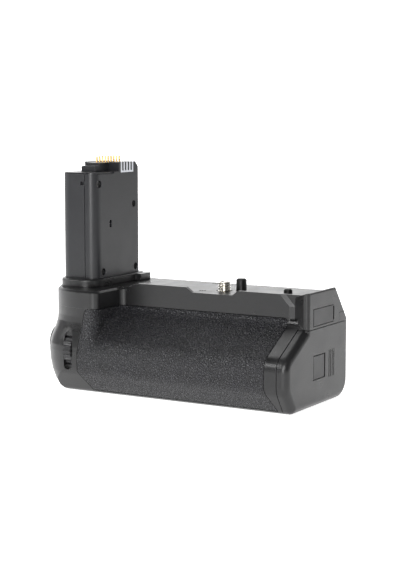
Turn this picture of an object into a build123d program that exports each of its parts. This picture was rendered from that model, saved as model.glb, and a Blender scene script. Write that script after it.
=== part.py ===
# Camera battery grip: a moulded base that screws under a camera, with a tower that
# fills the camera's battery chamber, a battery tray that slides out of one end, and
# a second set of controls at the other.
# Millimetres. X runs along the base with the tower at -X, the front is -Y, +Z is up.
# The origin is at the centre of the base's underside.
import os
from math import cos, pi, radians, sin, sqrt, tan

from build123d import *

# Overall size
LENGTH = 139.0
DEPTH = 66.0
DIAL_PROUD = 1.0
PLATE_Z = 49.7
SPLIT_Z = 41.2
OVERRUN = 1.0
GAP = 0.3
RUNNING_CLEARANCE = 0.06

LEFT_X = -LENGTH / 2
RIGHT_X = LENGTH / 2
FRONT_Y = -DEPTH / 2 + DIAL_PROUD
REAR_Y = DEPTH / 2 - DIAL_PROUD

# Section of the base along its length
FRONT_SETBACK = 24.0
VALLEY_Z = 38.4
VALLEY_RADIUS = 4.0
BELLY_TOP_Z = 24.6
BELLY_TOP_RADIUS = 8.0
BELLY_LOW_Z = 11.0
BELLY_LOW_RADIUS = 8.0
BASE_SETBACK = 7.5
BASE_FRONT_RADIUS = 4.0
BASE_REAR_RADIUS = 9.0
END_RADIUS = 3.4
FRONT_WALL_Y = FRONT_Y + FRONT_SETBACK
BASE_FRONT_Y = FRONT_Y + BASE_SETBACK

# Neck under the tower
NECK_LENGTH = 36.0
NECK_INSET = 2.0
NECK_SETBACK = 2.0
NECK_RADIUS = 25.0
NECK_EDGE_RADIUS = 4.0
NECK_ROOT_RADIUS = 3.0
NECK_ROOT_LENGTH = 8.0
NECK_TOP_EDGE = 1.0
FLARE_TOP_Z = 37.0
FLARE_LOW_Z = 20.0
LEFT_RADIUS = 21.0
LEFT_REAR_RADIUS = 9.0
LEFT_BASE_X = 15.5
FLARE_STEPS = 6
END_STEPS = 6
NECK_LEFT_X = LEFT_X + NECK_INSET
NECK_RIGHT_X = NECK_LEFT_X + NECK_LENGTH - NECK_INSET
NECK_FRONT_Y = FRONT_Y + NECK_SETBACK

# Rim along the front and block at the right end
RIM_RISE = 2.3
RIM_THICKNESS = 2.2
RIM_START_GAP = 2.5
RIM_RAMP = 7.0
NOTCH_ASIDE = 0.8
NOTCH_TOP_WIDTH = 28.5
NOTCH_FLOOR_WIDTH = 21.8
END_RISE = 4.1
END_BLOCK_LENGTH = 9.0
END_BLOCK_DEPTH = 4.5
END_BLOCK_FRONT_Y = FRONT_WALL_Y - END_BLOCK_DEPTH
PANEL_END = 9.0
PANEL_END_TOP = 13.8
PANEL_SHOULDER_Z = 46.6
PANEL_BEVEL = 2.4
PANEL_RECESS = 1.2
END_RAMP_LENGTH = 12.0
RIM_END = 5.3
END_TOP_RADIUS = 0.8
END_CORNER_RADIUS = 1.8
BEVEL_START = 12.0
BEVEL_TOP_DEPTH = 15.5
BEVEL_LOW_DEPTH = 1.2
BEVEL_LOW_DROP = 14.0

# Battery bay and the end cover
BAY_LENGTH = LENGTH - 16.7
BAY_WIDTH = DEPTH - 22.0
BAY_FLOOR_Z = 5.6
BAY_HEIGHT = 24.2
BAY_WALL = 2.5
COVER_THICKNESS = 5.2
COVER_TOP_Z = 36.4
BAY_REAR_Y = REAR_Y - BAY_WALL
BAY_FRONT_Y = BAY_REAR_Y - BAY_WIDTH
BAY_TOP_Z = BAY_FLOOR_Z + BAY_HEIGHT
COVER_X = RIGHT_X - COVER_THICKNESS
FRAME_X = COVER_X - GAP
BAY_LEFT_X = FRAME_X - BAY_LENGTH
TRAY_FLOOR = 1.6
TRAY_DIVIDER = 2.0

# Tower
TOWER_SETBACK = 12.9
TOWER_X = NECK_LEFT_X + TOWER_SETBACK
TOWER_REAR_SETBACK = 26.2
TOWER_Y = REAR_Y - TOWER_REAR_SETBACK
TOWER_WIDTH = 20.5
TOWER_DEPTH = 40.0
TOWER_RADIUS = 5.5
TOWER_REAR_RADIUS = 2.0
TOWER_TOP_Z = 109.5
TOWER_TOP_STEP = 4.5
TOWER_FRONT_TOP_Z = TOWER_TOP_Z - TOWER_TOP_STEP
TOWER_STEP = 18.6
TOWER_TOP_CHAMFER = 4.0
TOWER_SEAT = 3.0
TOWER_COVER_THICKNESS = 6.2
TOWER_WALL = 1.8
TOWER_EDGE = 0.7

# Camera fixing
SCREW_END_SETBACK = 53.1
SCREW_REAR_SETBACK = 26.3
SCREW_X = RIGHT_X - SCREW_END_SETBACK
SCREW_Y = REAR_Y - SCREW_REAR_SETBACK
SCREW_RADIUS = 3.175
SCREW_PROUD = 4.4
PLATE_THICKNESS = 1.5
PLATE_MARGIN = 2.0
GEAR_MODULE = 0.7
WHEEL_TEETH = 21
SCREW_TEETH = 24
GEAR_BACKLASH = 0.3
PRESSURE_ANGLE = 20
GEAR_THICKNESS = 2.4
WHEEL_THICKNESS = 3.8
GEAR_CENTRES = GEAR_MODULE * (WHEEL_TEETH + SCREW_TEETH) / 2
WHEEL_X = SCREW_X
WHEEL_Y = SCREW_Y + GEAR_CENTRES
WHEEL_RADIUS = REAR_Y + DIAL_PROUD - WHEEL_Y
WHEEL_Z = SPLIT_Z + GAP
GEAR_Z = WHEEL_Z + WHEEL_THICKNESS
LOCATOR_ASIDE = 5.8
LOCATOR_BEHIND = 6.3
LOCATOR_X = SCREW_X + LOCATOR_ASIDE
LOCATOR_Y = SCREW_Y + LOCATOR_BEHIND
LOCATOR_RADIUS = 2.5
LOCATOR_PROUD = 5.6
STUB_END_SETBACK = 22.4
STUB_BEHIND = 6.6
STUB_X = RIGHT_X - STUB_END_SETBACK
STUB_Y = SCREW_Y + STUB_BEHIND
STUB_RADIUS = 2.05
STUB_PROUD = 2.2

# Controls at the left end
DIAL_SETBACK = 18.7
DIAL_X = NECK_LEFT_X + DIAL_SETBACK
DIAL_Z = 20.5
DIAL_RADIUS = 8.5
DIAL_WIDTH = 4.2
DIAL_SLOT_HEIGHT = 18.0
DIAL_SLOT_DEPTH = 2.2
DIAL_Y = FRONT_Y - DIAL_PROUD + DIAL_RADIUS
CONTROL_HEIGHT = 5.7
CONTROL_Z = BAY_TOP_Z + CONTROL_HEIGHT
REAR_DIAL_SETBACK = 16.0
REAR_DIAL_X = LEFT_X + REAR_DIAL_SETBACK
REAR_DIAL_RADIUS = 4.5
REAR_DIAL_WIDTH = 7.0
REAR_DIAL_Y = REAR_Y + DIAL_PROUD - REAR_DIAL_RADIUS
DIAL_SHAFT_RADIUS = 1.0
SHUTTER_SETBACK = 22.0
SHUTTER_Y = FRONT_Y + SHUTTER_SETBACK
SHUTTER_Z = 21.0
SHUTTER_RADIUS = 5.6
SHUTTER_TRAVEL = 0.8
RING_RADIUS = 8.6
RING_WIDTH = 2.6
RING_PROUD = 0.9
RING_SEAT_DEPTH = 2.5
BUTTON_RADIUS = 3.3
BUTTON_PROUD = 0.7
BUTTON_TRAVEL = 0.6
FOCUS_PITCH = 14.0
FUNCTION_PITCH = 10.5
SELECTOR_PITCH = 12.5
FOCUS_X = REAR_DIAL_X + FOCUS_PITCH
FUNCTION_X = FOCUS_X + FUNCTION_PITCH
SELECTOR_X = FUNCTION_X + SELECTOR_PITCH


def outline(points, radii, inset=0):
    """A closed outline with rounded corners, drawn in by inset."""
    with BuildLine(Plane.XY) as rounded:
        FilletPolyline(*points, radius=radii, close=True)
    make_face(rounded.edges())
    if inset:
        offset(amount=-inset, kind=Kind.INTERSECTION)


def slab(x_span, y_span, z_span):
    """A block between three pairs of coordinates, made apart from any part."""
    size = [high - low for low, high in (x_span, y_span, z_span)]
    middle = [(low + high) / 2 for low, high in (x_span, y_span, z_span)]
    return Location(Vector(*middle)) * Box(*size, mode=Mode.PRIVATE)


def toothed_disc(teeth, root_radius, tip_radius, root_width, tip_width, start=0):
    """A disc with straight-sided teeth, one of them at the start angle."""
    Circle(root_radius)
    inner = root_radius * cos(pi / teeth) - tip_radius + root_radius
    with PolarLocations(0, teeth, start_angle=start):
        Polygon(
            (inner, -root_width / 2),
            (root_radius, -root_width / 2),
            (tip_radius, -tip_width / 2),
            (tip_radius, tip_width / 2),
            (root_radius, root_width / 2),
            (inner, root_width / 2),
            align=None,
        )


def gear(teeth, start):
    """A spur gear's outline, each tooth thinned by the backlash."""
    pitch_radius = GEAR_MODULE * teeth / 2
    root_depth = 1.2 * GEAR_MODULE
    tip_height = 0.9 * GEAR_MODULE
    flank = 2 * tan(radians(PRESSURE_ANGLE))
    pitch_width = pi * GEAR_MODULE / 2 - GEAR_BACKLASH
    toothed_disc(
        teeth,
        pitch_radius - root_depth,
        pitch_radius + tip_height,
        pitch_width + flank * root_depth,
        pitch_width - flank * tip_height,
        start,
    )


def left_block(inset):
    """The neck, its flare into the belly and the rounded left end."""
    def plan(left_x, front_y, corner):
        return [
            (left_x, front_y),
            (NECK_RIGHT_X, front_y),
            (NECK_RIGHT_X, FRONT_WALL_Y),
            (NECK_RIGHT_X + NECK_ROOT_LENGTH, FRONT_WALL_Y),
            (NECK_RIGHT_X + NECK_ROOT_LENGTH, REAR_Y),
            (left_x, REAR_Y),
        ], [corner, NECK_EDGE_RADIUS, NECK_ROOT_RADIUS, 0, 0, LEFT_REAR_RADIUS]

    side = [
        (FRONT_Y, PLATE_Z + OVERRUN),
        (FRONT_Y, BELLY_LOW_Z),
        (BASE_FRONT_Y, 0),
        (REAR_Y, 0),
        (REAR_Y, PLATE_Z + OVERRUN),
    ]
    sections = []
    for step in range(FLARE_STEPS + 1):
        share = step / FLARE_STEPS
        swell = (1 - cos(pi * share)) / 2
        sections.append((
            FLARE_TOP_Z - share * (FLARE_TOP_Z - FLARE_LOW_Z),
            NECK_LEFT_X - swell * NECK_INSET,
            NECK_FRONT_Y - swell * NECK_SETBACK,
            NECK_RADIUS - swell * (NECK_RADIUS - LEFT_RADIUS),
        ))
    for step in range(1, END_STEPS + 1):
        turn = pi / 2 * step / END_STEPS
        drawn_in = LEFT_BASE_X * (1 - cos(turn))
        sections.append((
            FLARE_LOW_Z * (1 - sin(turn)),
            LEFT_X + drawn_in,
            FRONT_Y,
            LEFT_RADIUS - drawn_in / 2,
        ))
    with BuildPart() as block:
        with BuildSketch(Plane.XY.offset(FLARE_TOP_Z)):
            outline(*plan(NECK_LEFT_X, NECK_FRONT_Y, NECK_RADIUS), inset)
        extrude(amount=PLATE_Z - inset - FLARE_TOP_Z)
        top_face = block.faces().sort_by(Axis.Z)[-1]
        outer_edges = top_face.edges().filter_by_position(
            Axis.X, LEFT_X, NECK_RIGHT_X + NECK_EDGE_RADIUS / 2
        ).filter_by_position(Axis.Y, FRONT_Y, REAR_Y - LEFT_REAR_RADIUS)
        chamfer(outer_edges, NECK_TOP_EDGE)
        for z, left_x, front_y, corner in sections:
            with BuildSketch(Plane.XY.offset(z)):
                outline(*plan(left_x, front_y, corner), inset)
        loft(ruled=True)
        with BuildSketch(Plane.YZ):
            outline(side, [0, BELLY_LOW_RADIUS, BASE_FRONT_RADIUS, BASE_REAR_RADIUS, 0], inset)
        extrude(amount=LENGTH, both=True, mode=Mode.INTERSECT)
    return block.part


def base_form(inset=0):
    """The base's outside up to the camera plate, drawn in by inset."""
    side = [
        (FRONT_WALL_Y, PLATE_Z),
        (FRONT_WALL_Y, VALLEY_Z),
        (FRONT_Y, BELLY_TOP_Z),
        (FRONT_Y, BELLY_LOW_Z),
        (BASE_FRONT_Y, 0),
        (REAR_Y, 0),
        (REAR_Y, PLATE_Z),
    ]
    radii = [
        0,
        VALLEY_RADIUS,
        BELLY_TOP_RADIUS,
        BELLY_LOW_RADIUS,
        BASE_FRONT_RADIUS,
        BASE_REAR_RADIUS,
        0,
    ]
    middle_x = NECK_LEFT_X + NECK_RADIUS
    with BuildPart() as form:
        with BuildSketch(Plane.YZ.offset(middle_x)):
            outline(side, radii, inset)
        extrude(amount=RIGHT_X - inset - middle_x)
        end_edges = form.faces().sort_by(Axis.X)[-1].edges().sort_by(Axis.Z)[:-1]
        fillet(end_edges, END_RADIUS - inset)
        add(left_block(inset))
    return form.part


def end_block():
    """The raised block at the right end, with its bevel towards the front wall."""
    start_x = RIGHT_X - END_BLOCK_LENGTH
    far_x = RIGHT_X - END_RAMP_LENGTH
    plan = [
        (far_x, FRONT_WALL_Y + PANEL_RECESS),
        (start_x, FRONT_WALL_Y + PANEL_RECESS),
        (RIGHT_X, END_BLOCK_FRONT_Y),
        (RIGHT_X, REAR_Y),
        (far_x, REAR_Y),
    ]
    front = [
        (far_x, BELLY_TOP_Z),
        (RIGHT_X, BELLY_TOP_Z),
        (RIGHT_X, PLATE_Z + END_RISE),
        (far_x, PLATE_Z),
    ]
    with BuildPart() as block:
        with BuildSketch(Plane.XY.offset(BELLY_TOP_Z)):
            outline(plan, [0, 0, END_CORNER_RADIUS, END_RADIUS, 0])
        extrude(amount=PLATE_Z + END_RISE - BELLY_TOP_Z)
        with BuildSketch(Plane.XZ):
            outline(front, [0, 0, END_TOP_RADIUS, 0])
        extrude(amount=DEPTH, both=True, mode=Mode.INTERSECT)
    return block.part


def front_rim():
    """The low wall along the camera plate's front, with a notch at the screw."""
    start_x = NECK_RIGHT_X + RIM_START_GAP
    end_x = RIGHT_X - RIM_END
    top_z = PLATE_Z + RIM_RISE
    with BuildPart() as rim:
        with BuildSketch(Plane.XZ.offset(-FRONT_WALL_Y)):
            with BuildLine():
                Polyline(
                    (start_x, SPLIT_Z),
                    (start_x, PLATE_Z),
                    (start_x + RIM_RAMP, top_z),
                    (SCREW_X + NOTCH_ASIDE - NOTCH_TOP_WIDTH / 2, top_z),
                    (SCREW_X + NOTCH_ASIDE - NOTCH_FLOOR_WIDTH / 2, PLATE_Z),
                    (SCREW_X + NOTCH_ASIDE + NOTCH_FLOOR_WIDTH / 2, PLATE_Z),
                    (SCREW_X + NOTCH_ASIDE + NOTCH_TOP_WIDTH / 2, top_z),
                    (end_x, top_z),
                    (end_x, SPLIT_Z),
                    close=True,
                )
            make_face()
        extrude(amount=-RIM_THICKNESS)
    return rim.part


def panel_end():
    """What is cut off the front wall's right end, so that it ends in a bevel."""
    top_z = PLATE_Z + END_RISE + OVERRUN
    with BuildPart() as cut:
        for depth, bevel in ((0, 0), (PANEL_RECESS, PANEL_BEVEL)):
            shoulder_x = RIGHT_X - PANEL_END - PANEL_BEVEL + bevel
            top_x = RIGHT_X - PANEL_END_TOP - PANEL_BEVEL + bevel
            with BuildSketch(Plane.XZ.offset(-FRONT_WALL_Y - depth)):
                with BuildLine():
                    Polyline(
                        (shoulder_x, VALLEY_Z),
                        (shoulder_x, PANEL_SHOULDER_Z),
                        (top_x, PLATE_Z + RIM_RISE),
                        (top_x, top_z),
                        (RIGHT_X + PANEL_BEVEL, top_z),
                        (RIGHT_X + PANEL_BEVEL, VALLEY_Z),
                        close=True,
                    )
                make_face()
        loft(ruled=True)
    return cut.part


def outer_form():
    """Everything that the two housings and the end cover are cut from."""
    top = Vector(RIGHT_X, REAR_Y - BEVEL_TOP_DEPTH, PLATE_Z + END_RISE)
    low = Vector(RIGHT_X, REAR_Y - BEVEL_LOW_DEPTH, PLATE_Z - BEVEL_LOW_DROP)
    start = Vector(RIGHT_X - BEVEL_START, REAR_Y, PLATE_Z)
    bevel = Plane(origin=start, x_dir=top - start, z_dir=(top - start).cross(low - start))
    with BuildPart() as form:
        add(base_form())
        add(front_rim())
        add(panel_end(), mode=Mode.SUBTRACT)
        add(end_block())
        split(bisect_by=bevel, keep=Keep.BOTTOM if bevel.z_dir.Y > 0 else Keep.TOP)
    return form.part


os.makedirs("parts", exist_ok=True)

OUTER = outer_form()
BELOW = -OVERRUN
ABOVE = PLATE_Z + END_RISE + OVERRUN
FAR_LEFT = LEFT_X - OVERRUN
FAR_RIGHT = RIGHT_X + OVERRUN
FAR_FRONT = -DEPTH
FAR_REAR = DEPTH

# Tongue of the upper housing that comes down round the connector to the end cover
TONGUE_LENGTH = 12.0
TONGUE_WIDTH = 29.7
TONGUE_REAR_SETBACK = 10.8
TONGUE_REAR_Y = REAR_Y - TONGUE_REAR_SETBACK
TONGUE_FRONT_Y = TONGUE_REAR_Y - TONGUE_WIDTH
TONGUE_LOW_Z = COVER_TOP_Z + GAP
TONGUE = slab(
    (RIGHT_X - TONGUE_LENGTH, FAR_RIGHT),
    (TONGUE_FRONT_Y, TONGUE_REAR_Y),
    (TONGUE_LOW_Z, SPLIT_Z),
)

# Leather-grained skin over the front of the base and the neck
SKIN_THICKNESS = 1.2
SKIN_LOW_Z = 1.3
SKIN_LEFT_TOP = 29.5
SKIN_LEFT_NECK = 28.0
SKIN_LEFT_BELLY = 26.0
SKIN_LEFT_LOW = 31.5
SKIN_RIGHT_TOP = 11.5
SKIN_RIGHT_LOW = 7.5
SKIN_CORNER = 3.0
SKIN_BEND = 12.0
SKIN_GROOVE = 0.3


def skin_form(drawn_in=0):
    """The skin between the base's outside and its own thickness, drawn in at its edge."""
    front = [
        (LEFT_X + SKIN_LEFT_TOP, SPLIT_Z),
        (LEFT_X + SKIN_LEFT_NECK, FLARE_TOP_Z - SKIN_CORNER),
        (LEFT_X + SKIN_LEFT_BELLY, FLARE_LOW_Z),
        (LEFT_X + SKIN_LEFT_BELLY, BELLY_LOW_Z),
        (LEFT_X + SKIN_LEFT_LOW, SKIN_LOW_Z),
        (RIGHT_X - SKIN_RIGHT_LOW, SKIN_LOW_Z),
        (RIGHT_X - SKIN_RIGHT_TOP, BELLY_LOW_Z),
        (RIGHT_X - SKIN_RIGHT_TOP, SPLIT_Z),
    ]
    radii = [SKIN_CORNER, SKIN_BEND, SKIN_BEND, SKIN_CORNER, 0, 0, SKIN_BEND, SKIN_CORNER]
    with BuildPart() as skin:
        with BuildSketch(Plane.XZ.offset(-FRONT_WALL_Y - RIM_THICKNESS)):
            outline(front, radii, drawn_in)
        extrude(amount=DEPTH)
        add(base_form(), mode=Mode.INTERSECT)
        add(base_form(SKIN_THICKNESS), mode=Mode.SUBTRACT)
    return skin.part


with BuildPart() as grip_skin:
    add(skin_form(SKIN_GROOVE))
grip_skin.part.label = "grip_skin"
export_step(grip_skin.part, "parts/grip_skin.step")

# Battery bay's catch for the latch
LATCH_WIDTH = 11.8
LATCH_REAR_SETBACK = 25.7
LATCH_REAR_Y = REAR_Y - LATCH_REAR_SETBACK
LATCH_FRONT_Y = LATCH_REAR_Y - LATCH_WIDTH
LATCH_LOW_Z = 13.3
LATCH_TOP_Z = 24.0
LATCH_THICKNESS = 1.8
LATCH_GAP = 0.35
LATCH_POCKET_DEPTH = 3.3
LATCH_BARREL_RADIUS = 1.5
LATCH_PIN_RADIUS = 0.6
LATCH_PIN_EXTRA = 1.3
HOOK_WIDTH = 2.3
HOOK_THICKNESS = 1.4
HOOK_RISE = 1.3
HOOK_SETBACK = 1.7
HOOK_BITE = 0.4
POST_LOW_Z = 17.0
POST_HEIGHT = 3.3
SWING_ROOM = 0.9
HOOK_X = FRAME_X - HOOK_SETBACK
HOOK_REAR_Y = LATCH_FRONT_Y + HOOK_WIDTH
LATCH_PIN_X = RIGHT_X - LATCH_BARREL_RADIUS
LATCH_PIN_Y = LATCH_REAR_Y - LATCH_BARREL_RADIUS + LATCH_GAP

# Base screws and the bush of the tripod thread
BUSH_RADIUS = 5.0
BUSH_LENGTH = 5.2
BUSH_BORE_RADIUS = 2.6
BUSH_CHAMFER = 0.4
BASE_SCREW_LENGTH = 4.3
BASE_SCREW_HEAD_RADIUS = 2.0
BASE_SCREW_HEAD = 0.9
BASE_SCREW_SHANK_RADIUS = 1.0
BASE_SCREW_SINK = 0.3
BASE_SCREW_INSET = 19.0
BASE_SCREW_EDGE = 5.0
BASE_SCREW_PLACES = [
    (LEFT_X + LEFT_BASE_X + BASE_SCREW_INSET / 2, BASE_FRONT_Y + BASE_SCREW_EDGE),
    (RIGHT_X - BASE_SCREW_INSET, BASE_FRONT_Y + BASE_SCREW_EDGE),
    (LEFT_X + LEFT_BASE_X + BASE_SCREW_INSET / 2, REAR_Y - BASE_REAR_RADIUS - BASE_SCREW_EDGE),
    (RIGHT_X - BASE_SCREW_INSET, REAR_Y - BASE_REAR_RADIUS - BASE_SCREW_EDGE),
]

# Bearings of the screw and the wheel in the lower housing
JOURNAL_RADIUS = 3.0
JOURNAL_LENGTH = 3.3
SHAFT_RADIUS = 1.5
SHAFT_SEAT = 3.0
SCOOP_RADIUS = 30.0
SCOOP_DEPTH = 1.5
SCOOP_BELOW = 5.0
SCOOP_ABOVE = 2.0

# Buttons' and selector's pockets
BUTTON_CLEARANCE = 0.2
BUTTON_LENGTH = 3.0
SHUTTER_LENGTH = 5.0
DIAL_SHAFT_SEAT = 2.0
SELECTOR_POCKET_RADIUS = 4.6
SELECTOR_PIVOT_DEPTH = 3.6
SELECTOR_POCKET_DEPTH = 6.2
GIMBAL_RADIUS = 3.6
GIMBAL_BORE = 2.3
GIMBAL_THICKNESS = 1.6
TRUNNION_RADIUS = 0.5
TRUNNION_SEAT = 0.7
SELECTOR_HUB_RADIUS = 1.7
SELECTOR_STEM_RADIUS = 1.0
SELECTOR_CAP_RADIUS = 3.7
SELECTOR_CAP_THICKNESS = 1.5
SELECTOR_PROUD = 0.9

# Rear thumb skin
THUMB_SKIN_THICKNESS = 1.0
THUMB_SKIN_START = 12.0
THUMB_SKIN_LENGTH = 46.0
THUMB_SKIN_HEIGHT = 17.0
THUMB_SKIN_RADIUS = 4.0
THUMB_SKIN_RISE = 10.0
THUMB_SKIN_X = LEFT_X + THUMB_SKIN_START + THUMB_SKIN_LENGTH / 2
THUMB_SKIN_Z = THUMB_SKIN_RISE + THUMB_SKIN_HEIGHT / 2


def rear_plane(x, z, depth=0):
    """A plane on the rear wall, or depth into it, that looks outwards."""
    return Plane(origin=(x, REAR_Y - depth, z), x_dir=(-1, 0, 0), z_dir=(0, 1, 0))


def left_plane(x):
    """A plane across the shutter button's axis that looks out of the left end."""
    return Plane(origin=(x, SHUTTER_Y, SHUTTER_Z), x_dir=(0, -1, 0), z_dir=(-1, 0, 0))


def dial_plane(x, y, z, width):
    """The left side plane of a dial whose axis runs along X."""
    return Plane(origin=(x - width / 2, y, z), x_dir=(0, 1, 0), z_dir=(1, 0, 0))


def thumb_outline():
    """The rear skin's rounded outline on the rear wall."""
    RectangleRounded(THUMB_SKIN_LENGTH, THUMB_SKIN_HEIGHT, THUMB_SKIN_RADIUS)


with BuildPart() as thumb_skin:
    with BuildSketch(rear_plane(THUMB_SKIN_X, THUMB_SKIN_Z)):
        thumb_outline()
    extrude(amount=-THUMB_SKIN_THICKNESS)
thumb_skin.part.label = "thumb_skin"
export_step(thumb_skin.part, "parts/thumb_skin.step")

with BuildPart() as thumb_scoop:
    with BuildSketch(Plane.XY.offset(SPLIT_Z - SCOOP_BELOW)):
        with Locations((WHEEL_X, REAR_Y + SCOOP_RADIUS - SCOOP_DEPTH)):
            Circle(SCOOP_RADIUS)
    extrude(amount=SCOOP_BELOW + WHEEL_THICKNESS + SCOOP_ABOVE)

with BuildPart() as lower_housing:
    add(OUTER)
    add(slab((FAR_LEFT, FAR_RIGHT), (FAR_FRONT, FAR_REAR), (SPLIT_Z, ABOVE)), mode=Mode.SUBTRACT)
    add(TONGUE, mode=Mode.SUBTRACT)
    add(skin_form(), mode=Mode.SUBTRACT)
    add(thumb_skin.part, mode=Mode.SUBTRACT)
    add(thumb_scoop.part, mode=Mode.SUBTRACT)
    # End cover's place and the battery bay behind it
    add(
        slab((FRAME_X, FAR_RIGHT), (FAR_FRONT, FAR_REAR), (BELOW, TONGUE_LOW_Z)),
        mode=Mode.SUBTRACT,
    )
    add(
        slab((BAY_LEFT_X, FAR_RIGHT), (BAY_FRONT_Y, BAY_REAR_Y), (BAY_FLOOR_Z, BAY_TOP_Z)),
        mode=Mode.SUBTRACT,
    )
    # Catch in the bay's roof: a pocket for the hook and a way out beside its lip
    add(
        slab(
            (HOOK_X - HOOK_THICKNESS - SWING_ROOM, HOOK_X + GAP),
            (LATCH_FRONT_Y - GAP, HOOK_REAR_Y + SWING_ROOM),
            (BAY_FLOOR_Z, BAY_TOP_Z + HOOK_RISE + GAP),
        ),
        mode=Mode.SUBTRACT,
    )
    add(
        slab(
            (HOOK_X, FAR_RIGHT),
            (LATCH_FRONT_Y + HOOK_BITE, HOOK_REAR_Y + SWING_ROOM),
            (BAY_FLOOR_Z, BAY_TOP_Z + HOOK_RISE + GAP),
        ),
        mode=Mode.SUBTRACT,
    )
    # Bearings of the camera screw and its wheel
    with BuildSketch(Plane.XY.offset(SPLIT_Z)):
        with Locations((SCREW_X, SCREW_Y)):
            Circle(JOURNAL_RADIUS + RUNNING_CLEARANCE)
    extrude(amount=-JOURNAL_LENGTH - GAP, mode=Mode.SUBTRACT)
    with BuildSketch(Plane.XY.offset(SPLIT_Z)):
        with Locations((WHEEL_X, WHEEL_Y)):
            Circle(SHAFT_RADIUS)
    extrude(amount=-SHAFT_SEAT, mode=Mode.SUBTRACT)
    # Tripod bush and base screws
    with BuildSketch(Plane.XY):
        with Locations((SCREW_X, SCREW_Y)):
            Circle(BUSH_RADIUS)
    extrude(amount=BUSH_LENGTH, mode=Mode.SUBTRACT)
    with BuildSketch(Plane.XY):
        with Locations(*BASE_SCREW_PLACES):
            Circle(BASE_SCREW_HEAD_RADIUS)
    extrude(amount=BASE_SCREW_SINK + BASE_SCREW_HEAD, mode=Mode.SUBTRACT)
    with BuildSketch(Plane.XY):
        with Locations(*BASE_SCREW_PLACES):
            Circle(BASE_SCREW_SHANK_RADIUS)
    extrude(amount=BASE_SCREW_LENGTH, mode=Mode.SUBTRACT)
    # Front dial's slot, well and shaft seats
    with BuildSketch(Plane.XZ.offset(-FRONT_Y + OVERRUN)):
        with Locations((DIAL_X, DIAL_Z)):
            RectangleRounded(DIAL_WIDTH + 2 * GAP, DIAL_SLOT_HEIGHT, DIAL_WIDTH / 2)
    extrude(amount=-DIAL_SLOT_DEPTH - OVERRUN, mode=Mode.SUBTRACT)
    with BuildSketch(dial_plane(DIAL_X, DIAL_Y, DIAL_Z, DIAL_WIDTH + 2 * GAP)):
        Circle(DIAL_RADIUS + GAP)
    extrude(amount=DIAL_WIDTH + 2 * GAP, mode=Mode.SUBTRACT)
    with BuildSketch(dial_plane(DIAL_X, DIAL_Y, DIAL_Z, DIAL_WIDTH + 2 * DIAL_SHAFT_SEAT)):
        Circle(DIAL_SHAFT_RADIUS)
    extrude(amount=DIAL_WIDTH + 2 * DIAL_SHAFT_SEAT, mode=Mode.SUBTRACT)
    # Rear dial's well and shaft seats
    with BuildSketch(dial_plane(REAR_DIAL_X, REAR_DIAL_Y, CONTROL_Z, REAR_DIAL_WIDTH + 2 * GAP)):
        Circle(REAR_DIAL_RADIUS + GAP)
    extrude(amount=REAR_DIAL_WIDTH + 2 * GAP, mode=Mode.SUBTRACT)
    with BuildSketch(
        dial_plane(REAR_DIAL_X, REAR_DIAL_Y, CONTROL_Z, REAR_DIAL_WIDTH + 2 * DIAL_SHAFT_SEAT)
    ):
        Circle(DIAL_SHAFT_RADIUS)
    extrude(amount=REAR_DIAL_WIDTH + 2 * DIAL_SHAFT_SEAT, mode=Mode.SUBTRACT)
    # Buttons and selector on the rear
    with BuildSketch(rear_plane(0, CONTROL_Z)):
        with Locations((-FOCUS_X, 0), (-FUNCTION_X, 0)):
            Circle(BUTTON_RADIUS + BUTTON_CLEARANCE)
    extrude(amount=-BUTTON_LENGTH - BUTTON_TRAVEL - GAP, mode=Mode.SUBTRACT)
    with BuildSketch(rear_plane(SELECTOR_X, CONTROL_Z)):
        Circle(SELECTOR_POCKET_RADIUS)
    extrude(amount=-SELECTOR_POCKET_DEPTH, mode=Mode.SUBTRACT)
    with BuildSketch(
        Plane.YZ.offset(SELECTOR_X - SELECTOR_POCKET_RADIUS - TRUNNION_SEAT)
    ):
        with Locations((REAR_Y - SELECTOR_PIVOT_DEPTH, CONTROL_Z)):
            Circle(TRUNNION_RADIUS + RUNNING_CLEARANCE)
    extrude(amount=2 * (SELECTOR_POCKET_RADIUS + TRUNNION_SEAT), mode=Mode.SUBTRACT)
    # Seat of the lock ring and the shutter button's well
    with BuildSketch(left_plane(LEFT_X + RING_SEAT_DEPTH)):
        Circle(RING_RADIUS + BUTTON_CLEARANCE)
    extrude(amount=RING_SEAT_DEPTH + OVERRUN, mode=Mode.SUBTRACT)
    with BuildSketch(left_plane(LEFT_X + SHUTTER_LENGTH + SHUTTER_TRAVEL + GAP)):
        Circle(SHUTTER_RADIUS + BUTTON_CLEARANCE)
    extrude(amount=SHUTTER_LENGTH + SHUTTER_TRAVEL, mode=Mode.SUBTRACT)
lower_housing.part.label = "lower_housing"
export_step(lower_housing.part, "parts/lower_housing.step")


def tower_outline(inset=0):
    """The tower's section, rounder at the front than at the rear, drawn in by inset."""
    outline(
        [
            (TOWER_X - TOWER_WIDTH / 2, TOWER_Y - TOWER_DEPTH / 2),
            (TOWER_X + TOWER_WIDTH / 2, TOWER_Y - TOWER_DEPTH / 2),
            (TOWER_X + TOWER_WIDTH / 2, TOWER_Y + TOWER_DEPTH / 2),
            (TOWER_X - TOWER_WIDTH / 2, TOWER_Y + TOWER_DEPTH / 2),
        ],
        [TOWER_RADIUS, TOWER_RADIUS, TOWER_REAR_RADIUS, TOWER_REAR_RADIUS],
        inset,
    )


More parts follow.
